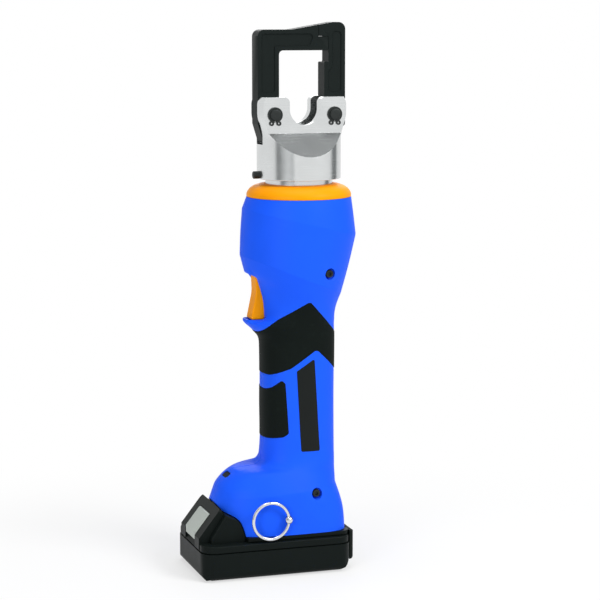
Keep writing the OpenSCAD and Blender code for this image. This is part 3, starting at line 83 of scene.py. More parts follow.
# ---------------------------------------------------------------- shaders


class Flow:
    """A shader socket that Python arithmetic extends with Math nodes."""

    def __init__(self, bench: "ShaderBench", socket: bpy.types.NodeSocket) -> None:
        """Keeps the socket and the bench that owns it."""
        self.bench = bench
        self.socket = socket

    def _math(self, operation: str, first: "Operand", second: "Operand") -> "Flow":
        """Adds one Math node."""
        return self.bench.add("ShaderNodeMath", {"operation": operation}, {0: first, 1: second})

    def __add__(self, other: "Operand") -> "Flow":
        """Sum."""
        return self._math("ADD", self, other)

    def __radd__(self, other: "Operand") -> "Flow":
        """Sum, reflected."""
        return self._math("ADD", other, self)

    def __mul__(self, other: "Operand") -> "Flow":
        """Product."""
        return self._math("MULTIPLY", self, other)

    def __rmul__(self, other: "Operand") -> "Flow":
        """Product, reflected."""
        return self._math("MULTIPLY", other, self)

    def above(self, level: float, width: float) -> "Flow":
        """A soft step from 0 to 1.

        Args:
            level: Value at which the step begins.
            width: Range over which it rises.

        Returns:
            The stepped value.
        """
        return self.bench.add(
            "ShaderNodeMapRange", {"interpolation_type": "SMOOTHSTEP"},
            {"Value": self, "From Min": level, "From Max": level + width})


Operand = Union[Flow, float, tuple]


class ShaderBench:
    """Builds one node tree, of a material or of the world."""

    def __init__(self, tree: bpy.types.NodeTree) -> None:
        """Empties the tree."""
        self.tree = tree
        tree.nodes.clear()

    def add(self, kind: str, settings: Optional[dict] = None, inputs: Optional[dict] = None,
            output: Union[int, str] = 0) -> Flow:
        """Adds a node.

        Args:
            kind: The node's type.
            settings: Its properties, set first.
            inputs: Values or flows for its sockets, by name or number.
            output: The socket that is handed back.

        Returns:
            The chosen output.
        """
        node = self.tree.nodes.new(kind)
        for key, value in (settings or {}).items():
            setattr(node, key, value)
        for key, value in (inputs or {}).items():
            if isinstance(value, Flow):
                self.tree.links.new(value.socket, node.inputs[key])
            else:
                node.inputs[key].default_value = value
        return Flow(self, node.outputs[output] if len(node.outputs) else None)

    def mix(self, share: Operand, first: Operand, second: Operand) -> Flow:
        """Mixes two colours.

        Args:
            share: How much of the second shows.
            first: Colour at 0.
            second: Colour at 1.

        Returns:
            The mixed colour.
        """
        return self.add("ShaderNodeMix", {"data_type": "RGBA"}, {0: share, 6: first, 7: second}, 2)


@dataclass(frozen=True)
class Finish:
    """One finish of the part, which becomes one material."""

    slot: str
    colour: Colour
    roughness: float
    texture: Texture
    metallic: float = 0.0
    grain: float = 1600.0
    depth: float = 0.00006
    gloss: float = 0.5
    patchy: float = 0.05
    name: str = ""

    def material(self) -> bpy.types.Material:
        """The finish as a material, made once."""
        label = (self.name or self.slot) + "_finish"
        if label in bpy.data.materials:
            return bpy.data.materials[label]
        material = bpy.data.materials.new(label)
        material.use_nodes = True
        bench = ShaderBench(material.node_tree)
        place = bench.add("ShaderNodeTexCoord", output="Object")
        broad = self._noise(bench, place, 55.0, 3.0)
        recipes = {
            Texture.MOULDED: self._moulded, Texture.RUBBER: self._rubber, Texture.PAINT: self._paint,
            Texture.TURNED: self._turned, Texture.PLATED: self._plated, Texture.CAST: self._cast}
        colour, rough, height, strength = recipes[self.texture](bench, place, broad)
        bump = bench.add("ShaderNodeBump", None, {"Strength": strength, "Distance": self.depth, "Height": height},
                         "Normal")
        inputs = {"Base Color": colour, "Roughness": rough, "Metallic": self.metallic, "Normal": bump}
        if self.gloss != 0.5:
            inputs["Specular IOR Level"] = self.gloss
        shader = bench.add("ShaderNodeBsdfPrincipled", None, inputs)
        bench.add("ShaderNodeOutputMaterial", None, {"Surface": shader})
        return material

    @staticmethod
    def _noise(bench: ShaderBench, place: Flow, scale: float, detail: float) -> Flow:
        """Plain noise on the piece's own coordinates."""
        return bench.add("ShaderNodeTexNoise", None, {"Vector": place, "Scale": scale, "Detail": detail})

    def _shade(self, share: float) -> tuple:
        """The finish's colour, lightened or darkened."""
        return (*(min(1.0, c * share) for c in self.colour), 1.0)

    def _moulded(self, bench: ShaderBench, place: Flow, broad: Flow) -> tuple:
        """Spark-eroded mould grain with slight flow marks."""
        grain = self._noise(bench, place, self.grain, 2.0)
        fine = bench.add("ShaderNodeTexVoronoi", {"feature": "SMOOTH_F1"}, {"Vector": place, "Scale": self.grain * 0.8})
        colour = bench.mix(broad, self._shade(1 - self.patchy), self._shade(1 + self.patchy))
        rough = grain * 0.08 + broad * 0.1 + (self.roughness - 0.09)
        return colour, rough, grain * 0.6 + fine * 0.4, 0.35

    def _rubber(self, bench: ShaderBench, place: Flow, broad: Flow) -> tuple:
        """Pebbled rubber that greys a little where hands rub it."""
        pebble = bench.add("ShaderNodeTexVoronoi", {"feature": "SMOOTH_F1"}, {"Vector": place, "Scale": self.grain})
        dust = self._noise(bench, place, 260.0, 4.0)
        worn = dust.above(0.48, 0.3) * broad.above(0.42, 0.3)
        colour = bench.mix(worn * 0.5, self._shade(0.9), self._shade(1.9))
        return colour, pebble * 0.1 + worn * 0.06 + (self.roughness - 0.06), pebble, 0.6

    def _paint(self, bench: ShaderBench, place: Flow, broad: Flow) -> tuple:
        """Satin paint with orange peel over a forging."""
        peel = self._noise(bench, place, self.grain, 1.5)
        dents = self._noise(bench, place, 240.0, 2.0)
        colour = bench.mix(broad, self._shade(0.85), self._shade(1.2))
        rough = peel * 0.12 + broad * 0.1 + (self.roughness - 0.11)
        return colour, rough, peel * 0.7 + dents * 0.6, 0.5

    def _turned(self, bench: ShaderBench, place: Flow, broad: Flow) -> tuple:
        """Fine tool marks round the tool's length."""
        stretched = bench.add("ShaderNodeMapping", None, {"Vector": place, "Scale": (30.0, 30.0, self.grain)})
        marks = bench.add("ShaderNodeTexNoise", None, {"Vector": stretched, "Scale": 1.0, "Detail": 3.0})
        tone = marks * 0.5 + broad * 0.5
        colour = bench.mix(tone, self._shade(0.86), self._shade(1.08))
        return colour, marks * 0.16 + broad * 0.08 + (self.roughness - 0.12), marks, 0.4

    def _plated(self, bench: ShaderBench, place: Flow, broad: Flow) -> tuple:
        """Smooth plating or oxide with faint handling marks."""
        fine = self._noise(bench, place, self.grain, 3.0)
        colour = bench.mix(broad, self._shade(0.9), self._shade(1.1))
        return colour, fine * 0.14 + (self.roughness - 0.07), fine, 0.15

    def _cast(self, bench: ShaderBench, place: Flow, broad: Flow) -> tuple:
        """Blasted casting skin."""
        skin = self._noise(bench, place, self.grain, 4.0)
        colour = bench.mix(skin, self._shade(0.85), self._shade(1.1))
        return colour, skin * 0.15 + (self.roughness - 0.07), skin, 0.6


class Finishes:
    """Every finish of the part, by the record's slot names."""

    BLUE = Finish("housing_blue", (0.009, 0.105, 0.95), 0.5, Texture.MOULDED, grain=1500, depth=0.00005, gloss=0.1)
    YELLOW = Finish("accent_yellow", (0.97, 0.34, 0.0005), 0.46, Texture.MOULDED, grain=1300, depth=0.00003, gloss=0.1)
    RUBBER = Finish("black_rubber", (0.0058, 0.009, 0.0078), 0.62, Texture.RUBBER, grain=1500, depth=0.0001, gloss=0.05)
    BLACK = Finish("black_plastic", (0.006, 0.0088, 0.008), 0.4, Texture.MOULDED, grain=1700, depth=0.00007, gloss=0.06,
                   patchy=0.12)
    GREY = Finish("grey_plastic", (0.42, 0.46, 0.42), 0.45, Texture.MOULDED, grain=1400, depth=0.00005)
    LENS = Finish("clear_lens", (0.006, 0.009, 0.014), 0.5, Texture.PLATED, grain=600, depth=0.00002, gloss=0.05)
    BOARD = Finish("board_green", (0.01, 0.09, 0.035), 0.35, Texture.MOULDED, grain=900, depth=0.00003)
    WIRE = Finish("bright_wire", (0.72, 0.73, 0.74), 0.2, Texture.PLATED, metallic=1.0, grain=900, depth=0.00002)
    PAINT = Finish("dark_paint", (0.0095, 0.013, 0.0122), 0.42, Texture.PAINT, grain=900, depth=0.00008, gloss=0.06)
    OXIDE = Finish("blackened_steel", (0.02, 0.024, 0.023), 0.45, Texture.PLATED, metallic=0.6, grain=1100,
                   depth=0.00003)
    MACHINED = Finish("machined_steel", (0.77, 0.79, 0.79), 0.24, Texture.TURNED, metallic=1.0, grain=5200,
                      depth=0.00002)
    STEEL = Finish("plain_steel", (0.55, 0.56, 0.57), 0.34, Texture.TURNED, metallic=1.0, grain=3800, depth=0.00002)
    CAST = Finish("cast_aluminium", (0.62, 0.63, 0.64), 0.5, Texture.CAST, metallic=1.0, grain=1400, depth=0.00012)
    BRASS = Finish("brass", (0.72, 0.47, 0.16), 0.3, Texture.PLATED, metallic=1.0, grain=1000, depth=0.00002)
    COPPER = Finish("copper_core", (0.62, 0.25, 0.11), 0.35, Texture.TURNED, metallic=1.0, grain=2400, depth=0.00004)
    CELL = Finish("cell_can", (0.05, 0.2, 0.3), 0.4, Texture.PLATED, grain=900, depth=0.00002)
    PLATE = Finish("black_plastic", (0.006, 0.008, 0.0075), 0.32, Texture.PLATED, grain=1200, depth=0.00003, gloss=0.15,
                   name="bare_plate")
    ALL = (BLUE, YELLOW, RUBBER, BLACK, GREY, LENS, BOARD, WIRE, PAINT, OXIDE, MACHINED, STEEL, CAST, BRASS, COPPER,
           CELL)

    @classmethod
    def of_slot(cls, slot: str) -> Finish:
        """The finish that dresses a record slot."""
        return next(f for f in cls.ALL if f.slot == slot)


# ---------------------------------------------------------------- workpieces


class Blank:
    """A workpiece: one closed mesh, in millimetres about the head's axis until it is fitted."""

    def __init__(self, name: str, points: Iterable[Sequence[float]], faces: Iterable[Sequence[int]]) -> None:
        """Makes the mesh and turns its faces outwards."""
        mesh = bpy.data.meshes.new(name)
        mesh.from_pydata([tuple(float(c) for c in p) for p in points], [], [tuple(int(i) for i in f) for f in faces])
        mesh.update()
        self.obj = bpy.data.objects.new(name, mesh)
        bpy.context.scene.collection.objects.link(self.obj)
        self.outward()

    def outward(self) -> "Blank":
        """Turns every face outwards."""
        work = bmesh.new()
        work.from_mesh(self.obj.data)
        bmesh.ops.recalc_face_normals(work, faces=work.faces)
        work.to_mesh(self.obj.data)
        work.free()
        return self

    def weld(self, reach: float = 0.02) -> "Blank":
        """Merges points that lie closer than reach and drops what collapses."""
        work = bmesh.new()
        work.from_mesh(self.obj.data)
        bmesh.ops.remove_doubles(work, verts=work.verts, dist=reach)
        bmesh.ops.dissolve_degenerate(work, edges=work.edges, dist=reach / 4)
        work.to_mesh(self.obj.data)
        work.free()
        return self

    def shape(self, kind: str, **settings: object) -> "Blank":
        """Adds a modifier and applies it at once."""
        modifier = self.obj.modifiers.new(kind.lower(), kind)
        for key, value in settings.items():
            setattr(modifier, key, value)
        return self.settle()

    def settle(self) -> "Blank":
        """Makes what the modifiers give the plain mesh."""
        graph = bpy.context.evaluated_depsgraph_get()
        mesh = bpy.data.meshes.new_from_object(self.obj.evaluated_get(graph))
        old = self.obj.data
        self.obj.modifiers.clear()
        self.obj.data = mesh
        bpy.data.meshes.remove(old)
        return self

    def _join(self, operation: str, tool: "Blank") -> "Blank":
        """Runs one Boolean and clears the tool away."""
        self.shape("BOOLEAN", operation=operation, object=tool.obj, solver="MANIFOLD")
        mesh = tool.obj.data
        bpy.data.objects.remove(tool.obj)
        bpy.data.meshes.remove(mesh)
        return self

    def cut(self, *tools: "Blank") -> "Blank":
        """Takes the tools' shapes out."""
        for tool in tools:
            self._join("DIFFERENCE", tool)
        return self

    def add(self, *tools: "Blank") -> "Blank":
        """Joins the tools' shapes on."""
        for tool in tools:
            self._join("UNION", tool)
        return self

    def keep(self, *tools: "Blank") -> "Blank":
        """Keeps what lies inside every tool."""
        for tool in tools:
            self._join("INTERSECT", tool)
        return self

    def ease(self, width: float, segments: int = 2, angle: float = 32.0) -> "Blank":
        """Rounds the edges that are sharper than angle."""
        self.weld()
        return self.shape("BEVEL", width=width, segments=segments, limit_method="ANGLE",
                          angle_limit=math.radians(angle), use_clamp_overlap=True, miter_outer="MITER_ARC")

    def fit(self, finish: Finish, body: str, nodes: Sequence[str], smooth: float = 38.0) -> bpy.types.Object:
        """Puts the finished piece into the frame.

        Args:
            finish: What it is dressed in.
            body: The body it rides on.
            nodes: The CAD nodes it stands for.
            smooth: Edges flatter than this many degrees shade as one surface.

        Returns:
            The piece's object.
        """
        self.obj.data.shade_smooth()
        self.obj.data.set_sharp_from_angle(angle=math.radians(smooth))
        self.shape("WEIGHTED_NORMAL", keep_sharp=True)
        mesh = self.obj.data
        mesh.transform(Matrix.Scale(MM, 4) @ Matrix.Translation((AXIS_X, 0, 0)))
        mesh.materials.clear()
        mesh.materials.append(finish.material())
        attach(self.obj, body)
        if nodes:
            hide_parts(*nodes)
        LOG.info("%s: %d faces, on %s", self.obj.name, len(mesh.polygons), body)
        return self.obj


class Stock:
    """Plain forms that the pieces are worked from."""

    @staticmethod
    def rounded(corners: Sequence[Sequence[float]], step: float = 7.5) -> list[tuple[float, float]]:
        """Rounds the corners of an outline.

        Args:
            corners: Points with a radius each.
            step: Degrees between the points of an arc.

        Returns:
            The outline's points.
        """
        made: list[tuple[float, float]] = []
        count = len(corners)
        for i, (x, y, radius) in enumerate(corners):
            here = Vector((x, y))
            if radius <= 0:
                made.append((x, y))
                continue
            before = (Vector(corners[i - 1][:2]) - here).normalized()
            after = (Vector(corners[(i + 1) % count][:2]) - here).normalized()
            half = before.angle(after) / 2
            start = here + before * (radius / math.tan(half))
            end = here + after * (radius / math.tan(half))
            centre = here + (before + after).normalized() * (radius / math.sin(half))
            spokes = max(2, math.ceil(math.degrees(math.pi - 2 * half) / step))
            for k in range(spokes + 1):
                spoke = (start - centre).lerp(end - centre, k / spokes).normalized() * radius
                made.append(tuple(centre + spoke))
        return made

    @staticmethod
    def grown(outline: Sequence[Point2], by: float) -> list[tuple[float, float]]:
        """An outline moved outwards along its corners' bisectors."""
        points = np.array(outline, float)
        area = np.sum(points[:, 0] * np.roll(points[:, 1], -1) - points[:, 1] * np.roll(points[:, 0], -1))
        sides = np.roll(points, -1, 0) - points
        lengths = np.maximum(np.linalg.norm(sides, axis=1, keepdims=True), 1e-9)
        normals = np.stack([sides[:, 1], -sides[:, 0]], 1) / lengths * np.sign(area)
        corner = normals + np.roll(normals, 1, 0)
        corner /= np.maximum(np.sum(corner * normals, 1, keepdims=True), 0.3)
        return [tuple(p) for p in points + corner * by]

    @classmethod
    def prism(cls, name: str, outline: Sequence[Point2], low: float, high: float, axis: Axis,
              draft: float = 0.0) -> Blank:
        """Draws an outline out along an axis.

        Args:
            name: Name of the workpiece.
            outline: XZ points for Y, XY points for Z and YZ points for X.
            low: Where it begins.
            high: Where it ends.
            axis: The direction.
            draft: How much the outline grows from low to high.

        Returns:
            The workpiece.
        """
        ends = [(list(outline), low), (cls.grown(outline, draft) if draft else list(outline), high)]
        order = {Axis.X: lambda p, h: (h, p[0], p[1]), Axis.Y: lambda p, h: (p[0], h, p[1]),
                 Axis.Z: lambda p, h: (p[0], p[1], h)}[axis]
        n = len(outline)
        points = [order(p, h) for loop, h in ends for p in loop]
        faces = [list(range(n)), list(range(n, 2 * n))]
        faces += [[i, (i + 1) % n, n + (i + 1) % n, n + i] for i in range(n)]
        return Blank(name, points, faces)

    @staticmethod
    def box(name: str, low: Sequence[float], high: Sequence[float]) -> Blank:
        """A block between two corners, as a tool for cuts."""
        outline = [(low[0], low[2]), (high[0], low[2]), (high[0], high[2]), (low[0], high[2])]
        return Stock.prism(name, outline, low[1], high[1], Axis.Y)

    @staticmethod
    def lathe(name: str, profile: Sequence[Point2], centre: Sequence[float] = (0, 0, 0),
              along: Sequence[float] = (0, 0, 1), segments: int = 128) -> Blank:
        """Turns a profile.

        Args:
            name: Name of the workpiece.
            profile: Radius and height of each point; it ends on the axis or closes on itself.
            centre: Where height 0 lies.
            along: The axis.
            segments: Steps round it.

        Returns:
            The workpiece.
        """
        points: list[tuple[float, float, float]] = []
        rows: list[list[int]] = []
        for radius, height in profile:
            count = 1 if radius < 1e-6 else segments
            rows.append(list(range(len(points), len(points) + count)))
            for k in range(count):
                angle = 2 * math.pi * k / segments
                points.append((radius * math.cos(angle), radius * math.sin(angle), height))
        closed = all(len(r) > 1 for r in rows)
        pairs = list(zip(rows, rows[1:])) + ([(rows[-1], rows[0])] if closed else [])
        faces: list[list[int]] = []
        for a, b in pairs:
            for k in range(segments):
                quad = [a[k % len(a)], a[(k + 1) % len(a)], b[(k + 1) % len(b)], b[k % len(b)]]
                face = list(dict.fromkeys(quad))
                if len(face) > 2:
                    faces.append(face)
        turn = Vector((0, 0, 1)).rotation_difference(Vector(along)).to_matrix()
        return Blank(name, [Vector(centre) + turn @ Vector(p) for p in points], faces)

    @classmethod
    def rod(cls, name: str, start: Sequence[float], end: Sequence[float], radius: float, edge: float = 0.0,
            segments: int = 96) -> Blank:
        """A round bar between two points, with its ends' edges broken."""
        along = Vector(end) - Vector(start)
        l = along.length
        profile = [(0, 0), (radius - edge, 0), (radius, edge), (radius, l - edge), (radius - edge, l), (0, l)]
        if edge <= 0:
            profile = [(0, 0), (radius, 0), (radius, l), (0, l)]
        return cls.lathe(name, profile, start, along.normalized(), segments)

    @staticmethod
    def arc(centre: Point2, radius: float, start: float, end: float, count: int) -> list[tuple[float, float]]:
        """Points on a circle, angles in degrees."""
        spots = np.radians(np.linspace(start, end, count))
        return [(centre[0] + radius * math.cos(a), centre[1] + radius * math.sin(a)) for a in spots]


# ---------------------------------------------------------------- housing


class Skin:
    """The moulded skin: superellipse sections joined by smooth curves that break only at creases."""

    STATIONS = np.array([
        # height, rise, front, rear, half, cavity front, roundness in front, behind
        (28.9, 0, 68, 28.5, 34, 65.6, 2.2, 5.5), (45.118, 0, 68, 28.5, 34, 65.6, 2.2, 3.857),
        (59.5, -0.06, 64.8, 25.5, 33.4, 62.4, 2.2, 2.4), (65.98, -0.0312, 60.95, 25.42, 30.43, 54.5, 2.296, 2.4),
        (73, 0, 50, 25.2, 26.8, 32, 2.4, 2.4), (74.87, 0, 33.12, 25.2, 25.63, 27.2, 2.4, 2.4),
        (84, 0, 28.9, 25.2, 22.9, 26, 2.4, 2.4), (122, 0, 28.4, 24.95, 22.4, 25.75, 2.4, 2.4),
        (160, 0, 28.4, 25.2, 22.4, 26, 2.4, 2.4), (167.474, 0.0148, 29.71, 25.2, 22.825, 26, 2.252, 2.4),
        (172.928, 0.0256, 34.95, 25.2, 23.25, 26, 2.144, 2.4), (177.978, 0.0356, 41.107, 25.2, 23.845, 26, 2.044, 2.4),
        (180.2, 0.04, 41.5, 25.2, 24.1, 26, 2, 2.4), (180.6, 0.04, 29, 25.2, 24.3, 26, 2, 2.4),
        (190.14, 0.2308, 30.265, 25.384, 25.716, 26, 2, 2.188), (198.6, 0.4, 34.5, 26, 30.2, 26, 2, 2),
        (199.02, 0.4, 39.7, 26.2, 30.4, 26, 2, 2), (210.38, 0.4, 42.8, 30, 36.5, 40.4, 2, 2),
        (230.644, 0.32, 42.1, 35.8, 38.8, 39.7, 2, 2), (250.908, 0.24, 40.8, 41, 40.5, 38.4, 2, 2),
        (261.643, 0.096, 38.92, 39, 38.8, 36.52, 2, 2), (268.8, 0, 37.5, 37.5, 37.5, 35.1, 2, 2)])
    CREASES = (1, 0, 1, 0, 1, 0, 0, 0, 0, 0, 0, 0, 1, 1, 0, 1, 1, 1, 0, 1, 0, 1)
    WALL = 2.4

    def __init__(self, pitch: float = 0.64, softness: float = 0.42, columns: int = 150) -> None:
        """Computes the dense grid of one half, on the +Y side.

        Args:
            pitch: Distance between rows, in mm.
            softness: How far the creases are eased, in mm.
            columns: Steps from the rear seam to the front seam.
        """
        rings, marks = self._dense()
        steps = np.diff(rings, axis=0)
        path = np.concatenate([[0], np.cumsum(np.sqrt(
            steps[:, 0] ** 2 + 0.6 * steps[:, 2] ** 2 + 0.4 * steps[:, 4] ** 2))])
        count = int(path[-1] / (pitch / 2)) // 2 * 2
        spots = np.linspace(0, path[-1], count + 1)
        even = np.stack([np.interp(spots, path, rings[:, k]) for k in range(8)], 1)
        marks = np.interp(spots, path, marks)
        even = self._eased(even, softness / (spots[1] - spots[0]))
        self.marks, self.path, self.rings = marks[::2], spots[::2], even[::2]
        self.columns = columns
        self.grid, self.round = self.sections(self.rings, columns)
        self._calm(2.3, 6.8, 4.0, (2, 14))
        self._calm(11.0, 17.0, 4.5, (6.5, 11))
        across = np.gradient(self.grid, axis=1)
        along = np.gradient(self.grid, axis=0)
        normal = np.cross(across, along)
        normal /= np.maximum(np.linalg.norm(normal, axis=2, keepdims=True), 1e-9)
        outwards = np.sign(np.sum(normal[len(normal) // 3, columns // 2] * np.array([0, 1, 0])))
        self.normal = normal * outwards
        self.domain = np.stack([self.round, np.broadcast_to(self.path[:, None], self.round.shape)], 2)

    def _dense(self) -> tuple[np.ndarray, np.ndarray]:
        """Sections along the smooth curves, with their place in the table of stations."""
        table, rows, marks = self.STATIONS, [], []
        last = len(table) - 1
        share = np.linspace(0, 1, 60, endpoint=False)[:, None]
        for i in range(last):
            a, b = table[i], table[i + 1]
            chord = (b - a) / (b[0] - a[0])

            def slope(k: int) -> np.ndarray:
                """Slope of every value over height at a station."""
                return chord if self.CREASES[k] else (table[k + 1] - table[k - 1]) / (table[k + 1][0] - table[k - 1][0])

            t, run = share, b[0] - a[0]
            rows.append((2 * t ** 3 - 3 * t ** 2 + 1) * a + (t ** 3 - 2 * t ** 2 + t) * run * slope(i)
                        + (3 * t ** 2 - 2 * t ** 3) * b + (t ** 3 - t ** 2) * run * slope(i + 1))
            marks.append(i + share[:, 0])
        return np.concatenate(rows + [table[-1:]]), np.concatenate(marks + [[last]])

    @staticmethod
    def _eased(rows: np.ndarray, spread: float) -> np.ndarray:
        """Rows smoothed along the part, with both ends kept."""
        reach = int(math.ceil(3 * spread))
        weight = np.exp(-0.5 * (np.arange(-reach, reach + 1) / spread) ** 2)
        weight /= weight.sum()
        head = 2 * rows[0] - rows[reach:0:-1]
        tail = 2 * rows[-1] - rows[-2:-reach - 2:-1]
        padded = np.concatenate([head, rows, tail])
        return np.stack([np.convolve(padded[:, k], weight, "valid") for k in range(rows.shape[1])], 1)

    @staticmethod
    def sections(rings: np.ndarray, columns: int) -> tuple[np.ndarray, np.ndarray]:
        """Evenly spaced points round each section.

        Args:
            rings: Sections as rows of the station table.
            columns: Steps round half a section.

        Returns:
            The points, and the distance of each from the rear seam.
        """
        angle = np.linspace(0, math.pi, 1801)
        c, s = np.cos(angle), np.sin(angle)
        power = np.where(c[None] < 0, 2 / rings[:, 6:7], 2 / rings[:, 7:8])
        middle, reach = (rings[:, 3:4] - rings[:, 2:3]) / 2, (rings[:, 3:4] + rings[:, 2:3]) / 2
        x = middle + np.sign(c) * reach * np.abs(c) ** power
        y = rings[:, 4:5] * np.abs(s) ** power
        y[:, 0] = y[:, -1] = 0
        z = rings[:, 0:1] - rings[:, 1:2] * x
        walk = np.sqrt(np.diff(x, axis=1) ** 2 + np.diff(y, axis=1) ** 2 + np.diff(z, axis=1) ** 2)
        walk = np.concatenate([np.zeros((len(rings), 1)), np.cumsum(walk, 1)], 1)
        grid = np.empty((len(rings), columns + 1, 3))
        spots = np.empty((len(rings), columns + 1))
        for i in range(len(rings)):
            spots[i] = np.linspace(0, walk[i, -1], columns + 1)
            for k, line in enumerate((x, y, z)):
                grid[i, :, k] = np.interp(spots[i], walk[i], line[i])
        return grid, spots

    def _calm(self, first: float, last: float, spread: float, out: Point2) -> None:
        """Lets the creases of one stretch run out into the sides.

        Args:
            first: Station at which the calm part begins.
            last: Station at which it ends.
            spread: How far each row is blended with its neighbours, in mm.
            out: Distance from the seam at which the calm sets in, and where it is whole.
        """
        share = np.clip(np.minimum(self.marks - first, last - self.marks) / 0.8, 0, 1)[:, None]
        span = np.arange(-3 * spread, 3 * spread + 0.01, 0.25)
        bell = np.exp(-0.5 * (span / spread) ** 2)
        bell /= bell.sum()
        for k in range(self.columns + 1):
            line = self.grid[:, k]
            walk = np.concatenate([[0], np.cumsum(np.linalg.norm(np.diff(line, axis=0), axis=1))])
            even = np.arange(0, walk[-1], 0.25)
            soft = np.stack([np.convolve(np.interp(even, walk, line[:, j]), bell, "same") for j in range(3)], 1)
            soft = np.stack([np.interp(walk, even, soft[:, j]) for j in range(3)], 1)
            side = np.clip((np.abs(line[:, 1:2]) - out[0]) / (out[1] - out[0]), 0, 1)
            self.grid[:, k] += (soft - line) * share * side ** 2 * (3 - 2 * side)

    def to_domain(self, points: np.ndarray) -> np.ndarray:
        """Finds where points of the side view lie on the unrolled skin.

        Args:
            points: X and Z of each point; one beyond the outline goes to the nearer seam.

        Returns:
            Distance from the rear seam and along the part, for each point.
        """
        flat = self.grid[:, :, [0, 2]]
        made = []
        for x, z in points:
            hits = []
            for k, seam in ((0, 1), (-1, -1)):
                column = flat[:, k]
                row = int(np.argmin(np.abs(column[:, 1] - z)))
                if (x - column[row, 0]) * seam >= 0:
                    hits.append(self.domain[row, k])
            if hits:
                made.append(hits[0])
                continue
            gap = np.sum((flat - (x, z)) ** 2, 2)
            row, column = np.unravel_index(np.argmin(gap), gap.shape)
            row = min(max(row, 1), flat.shape[0] - 2)
            column = min(max(column, 1), flat.shape[1] - 2)
            run_c = (flat[row, column + 1] - flat[row, column - 1]) / 2
            run_r = (flat[row + 1, column] - flat[row - 1, column]) / 2
            solve = np.linalg.lstsq(np.stack([run_c, run_r], 1), np.array((x, z)) - flat[row, column], rcond=None)[0]
            solve = np.clip(solve, -1, 1)
            step_c = (self.domain[row, column + 1] - self.domain[row, column - 1]) / 2
            step_r = (self.domain[row + 1, column] - self.domain[row - 1, column]) / 2
            made.append(self.domain[row, column] + step_c * solve[0] + step_r * solve[1])
        return np.array(made)

    def on_skin(self, spots: np.ndarray, lift: np.ndarray) -> np.ndarray:
        """Points of the unrolled skin put back on the part.

        Args:
            spots: Places on the unrolled skin.
            lift: How far each stands off the skin.

        Returns:
            The points.
        """
        rows = np.clip(np.interp(spots[:, 1], self.path, np.arange(len(self.path))), 0, len(self.path) - 1.001)
        low = rows.astype(int)
        share = (rows - low)[:, None]
        girth = self.round[low, -1] * (1 - share[:, 0]) + self.round[low + 1, -1] * share[:, 0]
        column = np.clip(spots[:, 0] / girth * self.columns, 0, self.columns - 0.001)
        left = column.astype(int)
        part = (column - left)[:, None]

        def blend(table: np.ndarray) -> np.ndarray:
            """Values between the four grid points round each place."""
            return ((table[low, left] * (1 - part) + table[low, left + 1] * part) * (1 - share)
                    + (table[low + 1, left] * (1 - part) + table[low + 1, left + 1] * part) * share)

        return blend(self.grid) + blend(self.normal) * lift[:, None]


def distance_to(loop: np.ndarray, spots: np.ndarray, closed: bool = True) -> np.ndarray:
    """Distance of places from a polyline.

    Args:
        loop: Points of the polyline.
        spots: The places.
        closed: Whether its last point joins its first.

    Returns:
        The distances.
    """
    best = np.full(len(spots), 1e9)
    ends = np.roll(loop, -1, 0) if closed else loop[1:]
    for a, b in zip(loop, ends):
        along = b - a
        share = np.clip((spots - a) @ along / max(along @ along, 1e-12), 0, 1)
        best = np.minimum(best, np.linalg.norm(spots - a - share[:, None] * along, axis=1))
    return best


def inside(loop: np.ndarray, spots: np.ndarray) -> np.ndarray:
    """Whether places lie inside a closed polyline."""
    hit = np.zeros(len(spots), bool)
    for a, b in zip(loop, np.roll(loop, -1, 0)):
        crosses = (a[1] > spots[:, 1]) != (b[1] > spots[:, 1])
        x = a[0] + (spots[:, 1] - a[1]) * (b[0] - a[0]) / (b[1] - a[1] if b[1] != a[1] else 1e-12)
        hit ^= crosses & (spots[:, 0] < x)
    return hit


def dense_loop(corners: Sequence[Point2], step: float) -> np.ndarray:
    """A closed outline with points no further apart than step."""
    made = []
    points = np.array(corners, float)
    for a, b in zip(points, np.roll(points, -1, 0)):
        count = max(1, math.ceil(np.linalg.norm(b - a) / step))
        made += [a + (b - a) * k / count for k in range(count)]
    return np.array(made)


